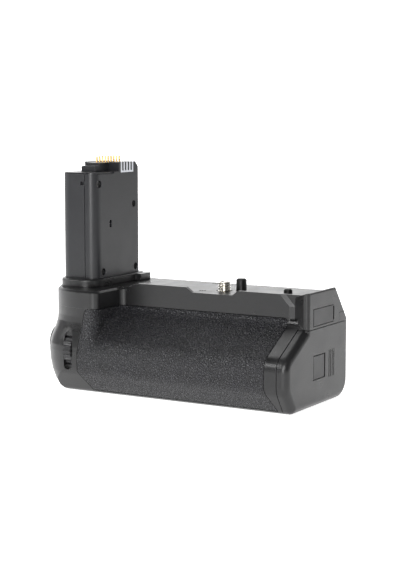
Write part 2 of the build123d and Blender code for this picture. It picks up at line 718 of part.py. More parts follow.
# Connector in the right end and its cover
DOOR_WIDTH = 20.8
DOOR_REAR_SETBACK = 17.4
DOOR_REAR_Y = REAR_Y - DOOR_REAR_SETBACK
DOOR_FRONT_Y = DOOR_REAR_Y - DOOR_WIDTH
DOOR_LOW_Z = 38.0
DOOR_TOP_Z = 45.6
DOOR_THICKNESS = 2.0
DOOR_GAP = 0.25
DOOR_PIN_RADIUS = 0.4
DOOR_PIN_SEAT = 1.2
NAIL_NOTCH = 1.2
NAIL_NOTCH_HEIGHT = 6.4
SOCKET_WIDTH = 8.9
SOCKET_HEIGHT = 3.2
SOCKET_LENGTH = 7.0
SOCKET_WALL = 0.35
SOCKET_TONGUE = 0.7
SOCKET_POCKET_MARGIN = 1.6
SOCKET_Y = (DOOR_FRONT_Y + DOOR_REAR_Y) / 2
SOCKET_Z = (DOOR_LOW_Z + DOOR_TOP_Z) / 2
DOOR_PIVOT_X = RIGHT_X - DOOR_THICKNESS / 2
DOOR_PIVOT_Y = DOOR_FRONT_Y + DOOR_THICKNESS / 2
DOOR_SEAT_X = RIGHT_X - DOOR_THICKNESS - GAP
SOCKET_BACK_X = DOOR_SEAT_X - GAP - SOCKET_LENGTH

# Inside of the upper housing and the camera plate's recess
UPPER_WALL = 2.2
PLATE_EDGE = 1.4
PLATE_END_MARGIN = 0.5
PLATE_LEFT_X = NECK_RIGHT_X + PLATE_MARGIN
PLATE_RIGHT_X = RIGHT_X - END_RAMP_LENGTH - PLATE_END_MARGIN
PLATE_FRONT_Y = FRONT_WALL_Y + RIM_THICKNESS
PLATE_REAR_Y = REAR_Y - PLATE_EDGE
PLATE_LOW_Z = PLATE_Z - PLATE_THICKNESS
WHEEL_SLOT_HALF = sqrt((WHEEL_RADIUS + GAP) ** 2 - (REAR_Y - UPPER_WALL - WHEEL_Y) ** 2)

with BuildPart() as lower_region:
    add(slab((FAR_LEFT, FAR_RIGHT), (FAR_FRONT, FAR_REAR), (BELOW, SPLIT_Z)))
    add(TONGUE, mode=Mode.SUBTRACT)

with BuildPart() as upper_housing:
    add(OUTER)
    add(lower_region.part, mode=Mode.SUBTRACT)
    add(thumb_scoop.part, mode=Mode.SUBTRACT)
    # Room for the screw's gears, with a ledge for the camera plate
    add(
        slab(
            (PLATE_LEFT_X + PLATE_EDGE, PLATE_RIGHT_X - PLATE_EDGE),
            (PLATE_FRONT_Y + PLATE_EDGE, REAR_Y - UPPER_WALL),
            (SPLIT_Z - OVERRUN, PLATE_Z),
        ),
        mode=Mode.SUBTRACT,
    )
    add(
        slab(
            (PLATE_LEFT_X, PLATE_RIGHT_X),
            (PLATE_FRONT_Y, PLATE_REAR_Y),
            (PLATE_LOW_Z, PLATE_Z + OVERRUN),
        ),
        mode=Mode.SUBTRACT,
    )
    add(
        slab(
            (WHEEL_X - WHEEL_SLOT_HALF, WHEEL_X + WHEEL_SLOT_HALF),
            (REAR_Y - UPPER_WALL - OVERRUN, FAR_REAR),
            (SPLIT_Z - OVERRUN, GEAR_Z + GAP),
        ),
        mode=Mode.SUBTRACT,
    )
    # Tower's socket
    with BuildSketch(Plane.XY.offset(PLATE_Z - TOWER_SEAT)):
        tower_outline()
    extrude(amount=TOWER_SEAT + OVERRUN, mode=Mode.SUBTRACT)
    # Connector's recess, its cover's seat and the nail notch beside it
    add(
        slab(
            (DOOR_SEAT_X, FAR_RIGHT),
            (DOOR_FRONT_Y - DOOR_GAP, DOOR_REAR_Y + DOOR_GAP),
            (DOOR_LOW_Z - DOOR_GAP, DOOR_TOP_Z + DOOR_GAP),
        ),
        mode=Mode.SUBTRACT,
    )
    add(
        slab(
            (DOOR_SEAT_X, FAR_RIGHT),
            (DOOR_REAR_Y, DOOR_REAR_Y + NAIL_NOTCH),
            (SOCKET_Z - NAIL_NOTCH_HEIGHT / 2, SOCKET_Z + NAIL_NOTCH_HEIGHT / 2),
        ),
        mode=Mode.SUBTRACT,
    )
    with BuildSketch(Plane.YZ.offset(SOCKET_BACK_X)):
        with Locations((SOCKET_Y, SOCKET_Z)):
            RectangleRounded(
                SOCKET_WIDTH + 2 * SOCKET_POCKET_MARGIN,
                SOCKET_HEIGHT + SOCKET_POCKET_MARGIN,
                SOCKET_POCKET_MARGIN,
            )
    extrude(amount=FAR_RIGHT - SOCKET_BACK_X, mode=Mode.SUBTRACT)
    with BuildSketch(Plane.XY.offset(DOOR_LOW_Z - DOOR_GAP - DOOR_PIN_SEAT)):
        with Locations((DOOR_PIVOT_X, DOOR_PIVOT_Y)):
            Circle(DOOR_PIN_RADIUS)
    extrude(
        amount=DOOR_TOP_Z - DOOR_LOW_Z + 2 * (DOOR_GAP + DOOR_PIN_SEAT), mode=Mode.SUBTRACT
    )
upper_housing.part.label = "upper_housing"
export_step(upper_housing.part, "parts/upper_housing.step")

# Camera plate with its fittings
SEAT_RING_CLEARANCE = 0.2
SEAT_RING_RADIUS = 3.9
PIN_FOOT_EXTRA = 0.4

with BuildPart() as camera_plate:
    with BuildSketch(Plane.XY.offset(PLATE_LOW_Z)):
        with Locations(((PLATE_LEFT_X + PLATE_RIGHT_X) / 2, (PLATE_FRONT_Y + PLATE_REAR_Y) / 2)):
            Rectangle(PLATE_RIGHT_X - PLATE_LEFT_X, PLATE_REAR_Y - PLATE_FRONT_Y)
        with Locations((SCREW_X, SCREW_Y)):
            Circle(SEAT_RING_RADIUS, mode=Mode.SUBTRACT)
        with Locations((LOCATOR_X, LOCATOR_Y)):
            Circle(LOCATOR_RADIUS + PIN_FOOT_EXTRA, mode=Mode.SUBTRACT)
        with Locations((STUB_X, STUB_Y)):
            Circle(STUB_RADIUS + PIN_FOOT_EXTRA, mode=Mode.SUBTRACT)
    extrude(amount=PLATE_THICKNESS)
camera_plate.part.label = "camera_plate"
export_step(camera_plate.part, "parts/camera_plate.step")

with BuildPart() as screw_seat_ring:
    with BuildSketch(Plane.XY.offset(PLATE_LOW_Z)):
        with Locations((SCREW_X, SCREW_Y)):
            Circle(SEAT_RING_RADIUS)
            Circle(SCREW_RADIUS + SEAT_RING_CLEARANCE, mode=Mode.SUBTRACT)
    extrude(amount=PLATE_THICKNESS)
screw_seat_ring.part.label = "screw_seat_ring"
export_step(screw_seat_ring.part, "parts/screw_seat_ring.step")

PIN_CHAMFER = 0.6
for name, x, y, radius, proud in (
    ("locating_pin", LOCATOR_X, LOCATOR_Y, LOCATOR_RADIUS, LOCATOR_PROUD),
    ("stub_pin", STUB_X, STUB_Y, STUB_RADIUS, STUB_PROUD),
):
    with BuildPart() as pin:
        with BuildSketch(Plane.XY.offset(PLATE_LOW_Z)):
            with Locations((x, y)):
                Circle(radius + PIN_FOOT_EXTRA)
        extrude(amount=PLATE_THICKNESS)
        with BuildSketch(Plane.XY.offset(PLATE_Z)):
            with Locations((x, y)):
                Circle(radius)
        extrude(amount=proud)
        chamfer(pin.faces().sort_by(Axis.Z)[-1].edges(), PIN_CHAMFER)
    pin.part.label = name
    export_step(pin.part, f"parts/{name}.step")

# Camera screw, thumbwheel and the gears between them
THREAD_CHAMFER = 0.5
KNURL_COUNT = 40
KNURL_DEPTH = 0.5
KNURL_WIDTH = 1.2
with BuildPart() as tripod_screw:
    with BuildSketch(Plane.XY.offset(SPLIT_Z - JOURNAL_LENGTH)):
        with Locations((SCREW_X, SCREW_Y)):
            Circle(JOURNAL_RADIUS)
    extrude(amount=JOURNAL_LENGTH + PLATE_Z - SPLIT_Z)
    with BuildSketch(Plane.XY.offset(PLATE_Z)):
        with Locations((SCREW_X, SCREW_Y)):
            Circle(SCREW_RADIUS)
    extrude(amount=SCREW_PROUD)
    chamfer(tripod_screw.faces().sort_by(Axis.Z)[-1].edges(), THREAD_CHAMFER)
    with BuildSketch(Plane(origin=(SCREW_X, SCREW_Y, GEAR_Z + GAP))):
        gear(SCREW_TEETH, 90 + 180 / SCREW_TEETH)
    extrude(amount=GEAR_THICKNESS - GAP)
tripod_screw.part.label = "tripod_screw"
export_step(tripod_screw.part, "parts/tripod_screw.step")

with BuildPart() as attachment_wheel:
    with BuildSketch(Plane(origin=(WHEEL_X, WHEEL_Y, WHEEL_Z))):
        toothed_disc(
            KNURL_COUNT, WHEEL_RADIUS - KNURL_DEPTH, WHEEL_RADIUS, KNURL_WIDTH, KNURL_WIDTH / 2
        )
    extrude(amount=WHEEL_THICKNESS)
    with BuildSketch(Plane(origin=(WHEEL_X, WHEEL_Y, GEAR_Z))):
        gear(WHEEL_TEETH, -90)
    extrude(amount=GEAR_THICKNESS)
    with BuildSketch(Plane(origin=(WHEEL_X, WHEEL_Y, WHEEL_Z))):
        Circle(SHAFT_RADIUS + RUNNING_CLEARANCE)
    extrude(amount=WHEEL_THICKNESS + GEAR_THICKNESS, mode=Mode.SUBTRACT)
attachment_wheel.part.label = "attachment_wheel"
export_step(attachment_wheel.part, "parts/attachment_wheel.step")

with BuildPart() as wheel_shaft:
    with BuildSketch(Plane(origin=(WHEEL_X, WHEEL_Y, SPLIT_Z - SHAFT_SEAT))):
        Circle(SHAFT_RADIUS)
    extrude(amount=SHAFT_SEAT + PLATE_LOW_Z - SPLIT_Z)
wheel_shaft.part.label = "wheel_shaft"
export_step(wheel_shaft.part, "parts/wheel_shaft.step")

# Tripod bush and base screws
with BuildPart() as tripod_bush:
    with BuildSketch(Plane(origin=(SCREW_X, SCREW_Y, 0))):
        Circle(BUSH_RADIUS)
        Circle(BUSH_BORE_RADIUS, mode=Mode.SUBTRACT)
    extrude(amount=BUSH_LENGTH)
    mouth = tripod_bush.faces().sort_by(Axis.Z)[0].edges().sort_by(SortBy.RADIUS)[0]
    chamfer(mouth, BUSH_CHAMFER)
tripod_bush.part.label = "tripod_bush"
export_step(tripod_bush.part, "parts/tripod_bush.step")

SCREW_CROSS_LENGTH = 2.0
SCREW_CROSS_WIDTH = 0.5
SCREW_CROSS_DEPTH = 0.5


def cross_head_screw(head_radius, head_height, shank_radius, length):
    """A screw whose head ends and shank starts on the sketch plane's far side."""
    with BuildPart() as screw:
        with BuildSketch(Plane.XY):
            Circle(head_radius)
        extrude(amount=-head_height)
        with BuildSketch(Plane.XY):
            Circle(shank_radius)
        extrude(amount=-length)
        with BuildSketch(Plane.XY):
            Rectangle(SCREW_CROSS_LENGTH, SCREW_CROSS_WIDTH)
            Rectangle(SCREW_CROSS_WIDTH, SCREW_CROSS_LENGTH)
        extrude(amount=-SCREW_CROSS_DEPTH, mode=Mode.SUBTRACT)
    return screw.part


base_screw_form = cross_head_screw(
    BASE_SCREW_HEAD_RADIUS,
    BASE_SCREW_HEAD,
    BASE_SCREW_SHANK_RADIUS,
    BASE_SCREW_LENGTH - BASE_SCREW_SINK,
)
for number, (x, y) in enumerate(BASE_SCREW_PLACES, start=1):
    with BuildPart() as base_screw:
        add(Plane(origin=(x, y, BASE_SCREW_SINK), z_dir=(0, 0, -1)) * base_screw_form)
    base_screw.part.label = f"base_screw_{number}"
    export_step(base_screw.part, f"parts/base_screw_{number}.step")

# Tower: a shell, a cover on its wide face and the pieces between and on them
TOWER_REAR_Y = TOWER_Y + TOWER_DEPTH / 2
TOWER_FRONT_Y = TOWER_Y - TOWER_DEPTH / 2
TOWER_RIGHT_X = TOWER_X + TOWER_WIDTH / 2
TOWER_LEFT_X = TOWER_X - TOWER_WIDTH / 2
TOWER_SPLIT_X = TOWER_RIGHT_X - TOWER_COVER_THICKNESS
TOWER_STEP_Y = TOWER_REAR_Y - TOWER_STEP
TOWER_LOW_Z = PLATE_Z - TOWER_SEAT
TOWER_CAVITY_WIDTH = 18.0
TOWER_CAVITY_LOW_Z = PLATE_Z + 2.3
TOWER_TOP_WALL = 3.0
TOWER_CAVITY_HEIGHT = TOWER_FRONT_TOP_Z - TOWER_TOP_WALL - TOWER_CAVITY_LOW_Z
COLLAR_HEIGHT = 3.8
SEAM_GROOVE = 0.4
LEDGE_DEPTH = 0.8
LEDGE_HEIGHT = 0.8
LEDGE_LENGTH = 16.2
LEDGE_START = 0.7
CLIP_WIDTH = 2.2
CLIP_HEIGHT = 1.8
CLIP_DEPTH = 1.2
CLIP_DROP = 5.1
TOWER_SCREW_LENGTH = 8.0
TOWER_SCREW_HEAD_RADIUS = 1.7
TOWER_SCREW_HEAD = 1.0
TOWER_SCREW_SHANK_RADIUS = 0.9
TOWER_SCREW_SINK = 0.7
TOWER_SCREW_SHARES = [(0.102, 0.9), (0.858, 0.7), (0.175, 0.123), (0.893, 0.128)]
PROBE_HOLE_RADIUS = 1.0
PROBE_HOLE_DEPTH = 2.0
PROBE_SHARES = (0.337, 0.543)
PROBE_SPACING = 1.8
TOWER_HEIGHT = TOWER_FRONT_TOP_Z - PLATE_Z
TOWER_SCREW_PLACES = [
    (TOWER_FRONT_Y + across * TOWER_DEPTH, PLATE_Z + up * TOWER_HEIGHT)
    for across, up in TOWER_SCREW_SHARES
]

# Contacts on the tower
PLINTH_WIDTH = 8.0
PLINTH_FRONT_Y = TOWER_FRONT_Y + 9.3
PLINTH_REAR_Y = TOWER_REAR_Y - 3.3
PLINTH_STEP = 3.8
PLINTH_STEP_DROP = 1.4
PLINTH_TOP_Z = TOWER_TOP_Z - 0.2
PLINTH_X = TOWER_SPLIT_X - PLINTH_WIDTH / 2
CONTACT_PIN_RADIUS = 0.5
CONTACT_PIN_GAP = 0.12
CONTACT_PIN_TOP_Z = TOWER_TOP_Z + 2.8
CONTACT_PIN_TRAVEL = 0.8
CONTACT_PIN_PITCH = 2.5
CONTACT_PIN_COUNT = 7
CONTACT_ROW_PITCH = 3.4
CONTACT_MARGIN = 1.0
CONTACT_Y = PLINTH_REAR_Y - CONTACT_MARGIN - CONTACT_PIN_COUNT * CONTACT_PIN_PITCH / 2
COMB_COUNT = 5
COMB_PITCH = 2.5
COMB_WIDTH = 1.3
COMB_DEPTH = 0.6
COMB_BAR = 0.9
COMB_HEIGHT = 5.1
COMB_REAR = 5.8
COMB_SLOT_WIDTH = 0.8
COMB_SLOT_DEPTH = 2.4
COMB_LENGTH = (COMB_COUNT - 1) * COMB_PITCH + COMB_WIDTH
COMB_Y = TOWER_REAR_Y - COMB_REAR - COMB_LENGTH / 2


def tower_form():
    """The tower's outside, down to the bottom of its socket in the housing."""
    side = [
        (TOWER_FRONT_Y, TOWER_LOW_Z),
        (TOWER_FRONT_Y, TOWER_FRONT_TOP_Z - TOWER_EDGE),
        (TOWER_FRONT_Y + TOWER_EDGE, TOWER_FRONT_TOP_Z),
        (TOWER_STEP_Y, TOWER_FRONT_TOP_Z),
        (TOWER_STEP_Y, TOWER_TOP_Z),
        (TOWER_REAR_Y - TOWER_TOP_CHAMFER, TOWER_TOP_Z),
        (TOWER_REAR_Y, TOWER_TOP_Z - TOWER_TOP_CHAMFER),
        (TOWER_REAR_Y, TOWER_LOW_Z),
    ]
    with BuildPart() as form:
        with BuildSketch(Plane.XY.offset(TOWER_LOW_Z)):
            tower_outline()
        extrude(amount=TOWER_TOP_Z - TOWER_LOW_Z)
        with BuildSketch(Plane.YZ.offset(TOWER_LEFT_X - OVERRUN)):
            outline(side, [0] * len(side))
        extrude(amount=TOWER_WIDTH + 2 * OVERRUN, mode=Mode.INTERSECT)
    return form.part


def comb_sketch(width, height, low_z):
    """One upright for each strip of the comb, on the tower's wide face."""
    with Locations((COMB_Y, low_z + height / 2)):
        with GridLocations(COMB_PITCH, 0, COMB_COUNT, 1):
            Rectangle(width, height)


TOWER_FORM = tower_form()
COMB_LOW_Z = TOWER_TOP_Z - COMB_HEIGHT

with BuildPart() as battery_contact_comb:
    with BuildSketch(Plane.YZ.offset(TOWER_RIGHT_X - COMB_DEPTH)):
        comb_sketch(COMB_WIDTH, COMB_HEIGHT, COMB_LOW_Z)
        with Locations((COMB_Y, COMB_LOW_Z + COMB_BAR / 2)):
            Rectangle(COMB_LENGTH, COMB_BAR)
    extrude(amount=COMB_DEPTH)
battery_contact_comb.part.label = "battery_contact_comb"
export_step(battery_contact_comb.part, "parts/battery_contact_comb.step")

with BuildPart() as contact_plinth:
    with BuildSketch(Plane.YZ.offset(PLINTH_X - PLINTH_WIDTH / 2)):
        with BuildLine():
            Polyline(
                (PLINTH_FRONT_Y, TOWER_FRONT_TOP_Z),
                (PLINTH_FRONT_Y, PLINTH_TOP_Z - PLINTH_STEP_DROP),
                (PLINTH_FRONT_Y + PLINTH_STEP, PLINTH_TOP_Z - PLINTH_STEP_DROP),
                (PLINTH_FRONT_Y + PLINTH_STEP, PLINTH_TOP_Z),
                (PLINTH_REAR_Y, PLINTH_TOP_Z),
                (PLINTH_REAR_Y, TOWER_FRONT_TOP_Z),
                close=True,
            )
        make_face()
    extrude(amount=PLINTH_WIDTH)
    with BuildSketch(Plane.XY.offset(TOWER_FRONT_TOP_Z)):
        with Locations((PLINTH_X, CONTACT_Y)):
            with GridLocations(CONTACT_ROW_PITCH, CONTACT_PIN_PITCH, 2, CONTACT_PIN_COUNT):
                Circle(CONTACT_PIN_RADIUS + CONTACT_PIN_GAP)
    extrude(amount=PLINTH_TOP_Z - TOWER_FRONT_TOP_Z, mode=Mode.SUBTRACT)
contact_plinth.part.label = "contact_plinth"
export_step(contact_plinth.part, "parts/contact_plinth.step")

with BuildPart() as contact_pins:
    with BuildSketch(Plane.XY.offset(TOWER_FRONT_TOP_Z + CONTACT_PIN_TRAVEL)):
        with Locations((PLINTH_X, CONTACT_Y)):
            with GridLocations(CONTACT_ROW_PITCH, CONTACT_PIN_PITCH, 2, CONTACT_PIN_COUNT):
                Circle(CONTACT_PIN_RADIUS)
    extrude(amount=CONTACT_PIN_TOP_Z - TOWER_FRONT_TOP_Z - CONTACT_PIN_TRAVEL)
    chamfer(contact_pins.faces().group_by(Axis.Z)[-1].edges(), CONTACT_PIN_RADIUS / 2)
contact_pins.part.label = "contact_pins"
export_step(contact_pins.part, "parts/contact_pins.step")

TOWER_BOARD_THICKNESS = 1.2
TOWER_BOARD_X = TOWER_X - 1.5
with BuildPart() as tower_circuit_board:
    add(
        slab(
            (TOWER_BOARD_X - TOWER_BOARD_THICKNESS, TOWER_BOARD_X),
            (TOWER_Y - TOWER_CAVITY_WIDTH / 2, TOWER_Y + TOWER_CAVITY_WIDTH / 2),
            (TOWER_CAVITY_LOW_Z, TOWER_CAVITY_LOW_Z + TOWER_CAVITY_HEIGHT),
        )
    )
tower_circuit_board.part.label = "tower_circuit_board"
export_step(tower_circuit_board.part, "parts/tower_circuit_board.step")

TOWER_CAVITY = slab(
    (TOWER_LEFT_X + TOWER_WALL, TOWER_RIGHT_X - TOWER_WALL),
    (TOWER_Y - TOWER_CAVITY_WIDTH / 2, TOWER_Y + TOWER_CAVITY_WIDTH / 2),
    (TOWER_CAVITY_LOW_Z, TOWER_CAVITY_LOW_Z + TOWER_CAVITY_HEIGHT),
)

with BuildPart() as tower_screws:
    with BuildSketch(Plane.YZ.offset(TOWER_RIGHT_X)):
        with Locations(*TOWER_SCREW_PLACES):
            Circle(TOWER_SCREW_HEAD_RADIUS)
    extrude(amount=-TOWER_SCREW_SINK - TOWER_SCREW_HEAD)
    with BuildSketch(Plane.YZ.offset(TOWER_RIGHT_X)):
        with Locations(*TOWER_SCREW_PLACES):
            Circle(TOWER_SCREW_SHANK_RADIUS)
    extrude(amount=-TOWER_SCREW_LENGTH)

with BuildPart() as tower_shell:
    add(TOWER_FORM)
    add(
        slab((TOWER_SPLIT_X, 0), (FAR_FRONT, FAR_REAR), (BELOW, TOWER_TOP_Z + OVERRUN)),
        mode=Mode.SUBTRACT,
    )
    add(TOWER_CAVITY, mode=Mode.SUBTRACT)
    add(tower_screws.part, mode=Mode.SUBTRACT)
    add(
        slab(
            (PLINTH_X - PLINTH_WIDTH / 2, TOWER_RIGHT_X),
            (FAR_FRONT, PLINTH_REAR_Y),
            (TOWER_FRONT_TOP_Z, TOWER_TOP_Z + OVERRUN),
        ),
        mode=Mode.SUBTRACT,
    )
    # Clip window in the narrow front face
    add(
        slab(
            (TOWER_SPLIT_X - CLIP_WIDTH, TOWER_SPLIT_X),
            (TOWER_FRONT_Y - OVERRUN, TOWER_FRONT_Y + CLIP_DEPTH),
            (
                TOWER_FRONT_TOP_Z - CLIP_DROP - CLIP_HEIGHT / 2,
                TOWER_FRONT_TOP_Z - CLIP_DROP + CLIP_HEIGHT / 2,
            ),
        ),
        mode=Mode.SUBTRACT,
    )
tower_shell.part.label = "tower_shell"
export_step(tower_shell.part, "parts/tower_shell.step")


def seam_groove():
    """A groove round the tower above its collar, on the cover's side of the seam."""
    with BuildPart() as groove:
        add(
            slab(
                (TOWER_SPLIT_X, TOWER_SPLIT_X + SEAM_GROOVE),
                (FAR_FRONT, FAR_REAR),
                (PLATE_Z + COLLAR_HEIGHT, TOWER_TOP_Z + OVERRUN),
            )
        )
        with BuildSketch(Plane.XY.offset(PLATE_Z)):
            tower_outline(SEAM_GROOVE)
        extrude(amount=TOWER_TOP_Z + 2 * OVERRUN - PLATE_Z, mode=Mode.SUBTRACT)
    return groove.part


with BuildPart() as tower_cover:
    add(TOWER_FORM)
    add(
        slab((FAR_LEFT, TOWER_SPLIT_X), (FAR_FRONT, FAR_REAR), (BELOW, TOWER_TOP_Z + OVERRUN)),
        mode=Mode.SUBTRACT,
    )
    add(TOWER_CAVITY, mode=Mode.SUBTRACT)
    add(tower_screws.part, mode=Mode.SUBTRACT)
    add(battery_contact_comb.part, mode=Mode.SUBTRACT)
    # Groove round the seam with the shell
    add(seam_groove(), mode=Mode.SUBTRACT)
    # Slots between the comb's strips
    with BuildSketch(Plane.YZ.offset(TOWER_RIGHT_X - COMB_SLOT_DEPTH)):
        with Locations((COMB_Y, COMB_LOW_Z + COMB_BAR + COMB_HEIGHT / 2)):
            with GridLocations(COMB_PITCH, 0, COMB_COUNT - 1, 1):
                Rectangle(COMB_SLOT_WIDTH, COMB_HEIGHT)
    extrude(amount=COMB_SLOT_DEPTH + OVERRUN, mode=Mode.SUBTRACT)
    # Ledge along the top of the wide face
    add(
        slab(
            (TOWER_RIGHT_X - LEDGE_DEPTH, TOWER_RIGHT_X + OVERRUN),
            (TOWER_FRONT_Y + LEDGE_START, TOWER_FRONT_Y + LEDGE_START + LEDGE_LENGTH),
            (TOWER_FRONT_TOP_Z - LEDGE_HEIGHT, TOWER_FRONT_TOP_Z + OVERRUN),
        ),
        mode=Mode.SUBTRACT,
    )
    # Two probe holes in the wide face
    with BuildSketch(Plane.YZ.offset(TOWER_RIGHT_X)):
        with Locations(
            (
                TOWER_FRONT_Y + PROBE_SHARES[0] * TOWER_DEPTH,
                PLATE_Z + PROBE_SHARES[1] * TOWER_HEIGHT,
            )
        ):
            with GridLocations(0, PROBE_SPACING, 1, 2):
                Circle(PROBE_HOLE_RADIUS)
    extrude(amount=-PROBE_HOLE_DEPTH, mode=Mode.SUBTRACT)
tower_cover.part.label = "tower_cover"
export_step(tower_cover.part, "parts/tower_cover.step")

tower_screw_form = cross_head_screw(
    TOWER_SCREW_HEAD_RADIUS,
    TOWER_SCREW_HEAD,
    TOWER_SCREW_SHANK_RADIUS,
    TOWER_SCREW_LENGTH - TOWER_SCREW_SINK,
)
for number, (y, z) in enumerate(TOWER_SCREW_PLACES, start=1):
    with BuildPart() as tower_screw:
        add(Plane(origin=(TOWER_RIGHT_X - TOWER_SCREW_SINK, y, z), z_dir=(1, 0, 0)) * tower_screw_form)
    tower_screw.part.label = f"tower_screw_{number}"
    export_step(tower_screw.part, f"parts/tower_screw_{number}.step")

# Collar at the tower's foot
COLLAR_SIDE = 1.9
COLLAR_LEFT = 0.7
COLLAR_FRONT = 5.3
COLLAR_REAR = 4.2
COLLAR_RADIUS = 10.5
COLLAR_REAR_RADIUS = 5.0
COLLAR_EDGE = 0.9
LUG_LENGTH = 9.0
LUG_PROUD = 3.0
LUG_HEIGHT = 3.4
with BuildPart() as tower_collar:
    with BuildSketch(Plane.XY.offset(PLATE_Z)):
        outline(
            [
                (TOWER_LEFT_X - COLLAR_LEFT, TOWER_FRONT_Y - COLLAR_FRONT),
                (TOWER_RIGHT_X + COLLAR_SIDE, TOWER_FRONT_Y - COLLAR_FRONT),
                (TOWER_RIGHT_X + COLLAR_SIDE, TOWER_REAR_Y + COLLAR_REAR),
                (TOWER_LEFT_X - COLLAR_LEFT, TOWER_REAR_Y + COLLAR_REAR),
            ],
            [COLLAR_RADIUS, COLLAR_RADIUS, COLLAR_REAR_RADIUS, COLLAR_REAR_RADIUS],
        )
    extrude(amount=COLLAR_HEIGHT)
    fillet(tower_collar.faces().sort_by(Axis.Z)[-1].edges(), COLLAR_EDGE)
    add(
        slab(
            (TOWER_RIGHT_X, TOWER_RIGHT_X + COLLAR_SIDE + LUG_PROUD),
            (TOWER_REAR_Y - LUG_LENGTH + COLLAR_REAR / 2, TOWER_REAR_Y + COLLAR_REAR / 2),
            (PLATE_Z, PLATE_Z + LUG_HEIGHT),
        )
    )
    with BuildSketch(Plane.XY.offset(PLATE_Z)):
        tower_outline()
    extrude(amount=COLLAR_HEIGHT, mode=Mode.SUBTRACT)
tower_collar.part.label = "tower_collar"
export_step(tower_collar.part, "parts/tower_collar.step")

# Connector and its hinged cover
with BuildPart() as usb_socket:
    with BuildSketch(Plane.YZ.offset(SOCKET_BACK_X)):
        with Locations((SOCKET_Y, SOCKET_Z)):
            RectangleRounded(SOCKET_WIDTH, SOCKET_HEIGHT, SOCKET_HEIGHT / 3)
    extrude(amount=SOCKET_LENGTH)
    with BuildSketch(Plane.YZ.offset(SOCKET_BACK_X + 2 * SOCKET_WALL)):
        with Locations((SOCKET_Y, SOCKET_Z)):
            RectangleRounded(
                SOCKET_WIDTH - 2 * SOCKET_WALL,
                SOCKET_HEIGHT - 2 * SOCKET_WALL,
                SOCKET_HEIGHT / 3 - SOCKET_WALL,
            )
            Rectangle(SOCKET_WIDTH / 2, SOCKET_TONGUE, mode=Mode.SUBTRACT)
    extrude(amount=SOCKET_LENGTH, mode=Mode.SUBTRACT)
usb_socket.part.label = "usb_socket"
export_step(usb_socket.part, "parts/usb_socket.step")

with BuildPart() as usb_door:
    with BuildSketch(Plane.XY.offset(DOOR_LOW_Z)):
        with Locations((DOOR_PIVOT_X, DOOR_PIVOT_Y)):
            Circle(DOOR_THICKNESS / 2)
        with Locations((DOOR_PIVOT_X, (DOOR_PIVOT_Y + DOOR_REAR_Y) / 2)):
            Rectangle(DOOR_THICKNESS, DOOR_REAR_Y - DOOR_PIVOT_Y)
        with Locations((DOOR_PIVOT_X, DOOR_PIVOT_Y)):
            Circle(DOOR_PIN_RADIUS + RUNNING_CLEARANCE, mode=Mode.SUBTRACT)
    extrude(amount=DOOR_TOP_Z - DOOR_LOW_Z)
usb_door.part.label = "usb_door"
export_step(usb_door.part, "parts/usb_door.step")

with BuildPart() as door_pin:
    with BuildSketch(
        Plane(origin=(DOOR_PIVOT_X, DOOR_PIVOT_Y, DOOR_LOW_Z - DOOR_GAP - DOOR_PIN_SEAT))
    ):
        Circle(DOOR_PIN_RADIUS)
    extrude(amount=DOOR_TOP_Z - DOOR_LOW_Z + 2 * (DOOR_GAP + DOOR_PIN_SEAT))
door_pin.part.label = "door_pin"
export_step(door_pin.part, "parts/door_pin.step")

# Battery tray, its end cover and the push latch
TRAY_END_WALL = 3.0
TRAY_LATCH_WALL = 4.1
TRAY_SIDE_WALL = 1.4
TRAY_WINDOW = 22.0
TRAY_NOTCH_LENGTH = 30.0
TRAY_NOTCH_DEPTH = 10.0
TRAY_LEFT_X = BAY_LEFT_X + GAP
TRAY_FRONT_Y = BAY_FRONT_Y + GAP
TRAY_REAR_Y = BAY_REAR_Y - GAP
TRAY_LOW_Z = BAY_FLOOR_Z + GAP
TRAY_TOP_Z = BAY_TOP_Z - GAP
CELL_LENGTH = (COVER_X - TRAY_LEFT_X - TRAY_END_WALL - TRAY_DIVIDER - TRAY_LATCH_WALL) / 2
CELL_STARTS = [
    TRAY_LEFT_X + TRAY_END_WALL,
    TRAY_LEFT_X + TRAY_END_WALL + CELL_LENGTH + TRAY_DIVIDER,
]
with BuildPart() as battery_tray:
    add(slab((TRAY_LEFT_X, COVER_X), (TRAY_FRONT_Y, TRAY_REAR_Y), (TRAY_LOW_Z, TRAY_TOP_Z)))
    for start_x in CELL_STARTS:
        middle_x = start_x + CELL_LENGTH / 2
        add(
            slab(
                (start_x, start_x + CELL_LENGTH),
                (TRAY_FRONT_Y + TRAY_SIDE_WALL, TRAY_REAR_Y - TRAY_SIDE_WALL),
                (TRAY_LOW_Z + TRAY_FLOOR, TRAY_TOP_Z + OVERRUN),
            ),
            mode=Mode.SUBTRACT,
        )
        add(
            slab(
                (middle_x - TRAY_WINDOW / 2, middle_x + TRAY_WINDOW / 2),
                (
                    (TRAY_FRONT_Y + TRAY_REAR_Y - TRAY_WINDOW) / 2,
                    (TRAY_FRONT_Y + TRAY_REAR_Y + TRAY_WINDOW) / 2,
                ),
                (BELOW, TRAY_TOP_Z),
            ),
            mode=Mode.SUBTRACT,
        )
        add(
            slab(
                (middle_x - TRAY_NOTCH_LENGTH / 2, middle_x + TRAY_NOTCH_LENGTH / 2),
                (TRAY_FRONT_Y - OVERRUN, TRAY_REAR_Y + OVERRUN),
                (TRAY_TOP_Z - TRAY_NOTCH_DEPTH, TRAY_TOP_Z + OVERRUN),
            ),
            mode=Mode.SUBTRACT,
        )
    add(
        slab(
            (COVER_X - TRAY_LATCH_WALL - OVERRUN, COVER_X + OVERRUN),
            (LATCH_FRONT_Y - SWING_ROOM, HOOK_REAR_Y + SWING_ROOM),
            (POST_LOW_Z - LATCH_GAP, TRAY_TOP_Z + OVERRUN),
        ),
        mode=Mode.SUBTRACT,
    )
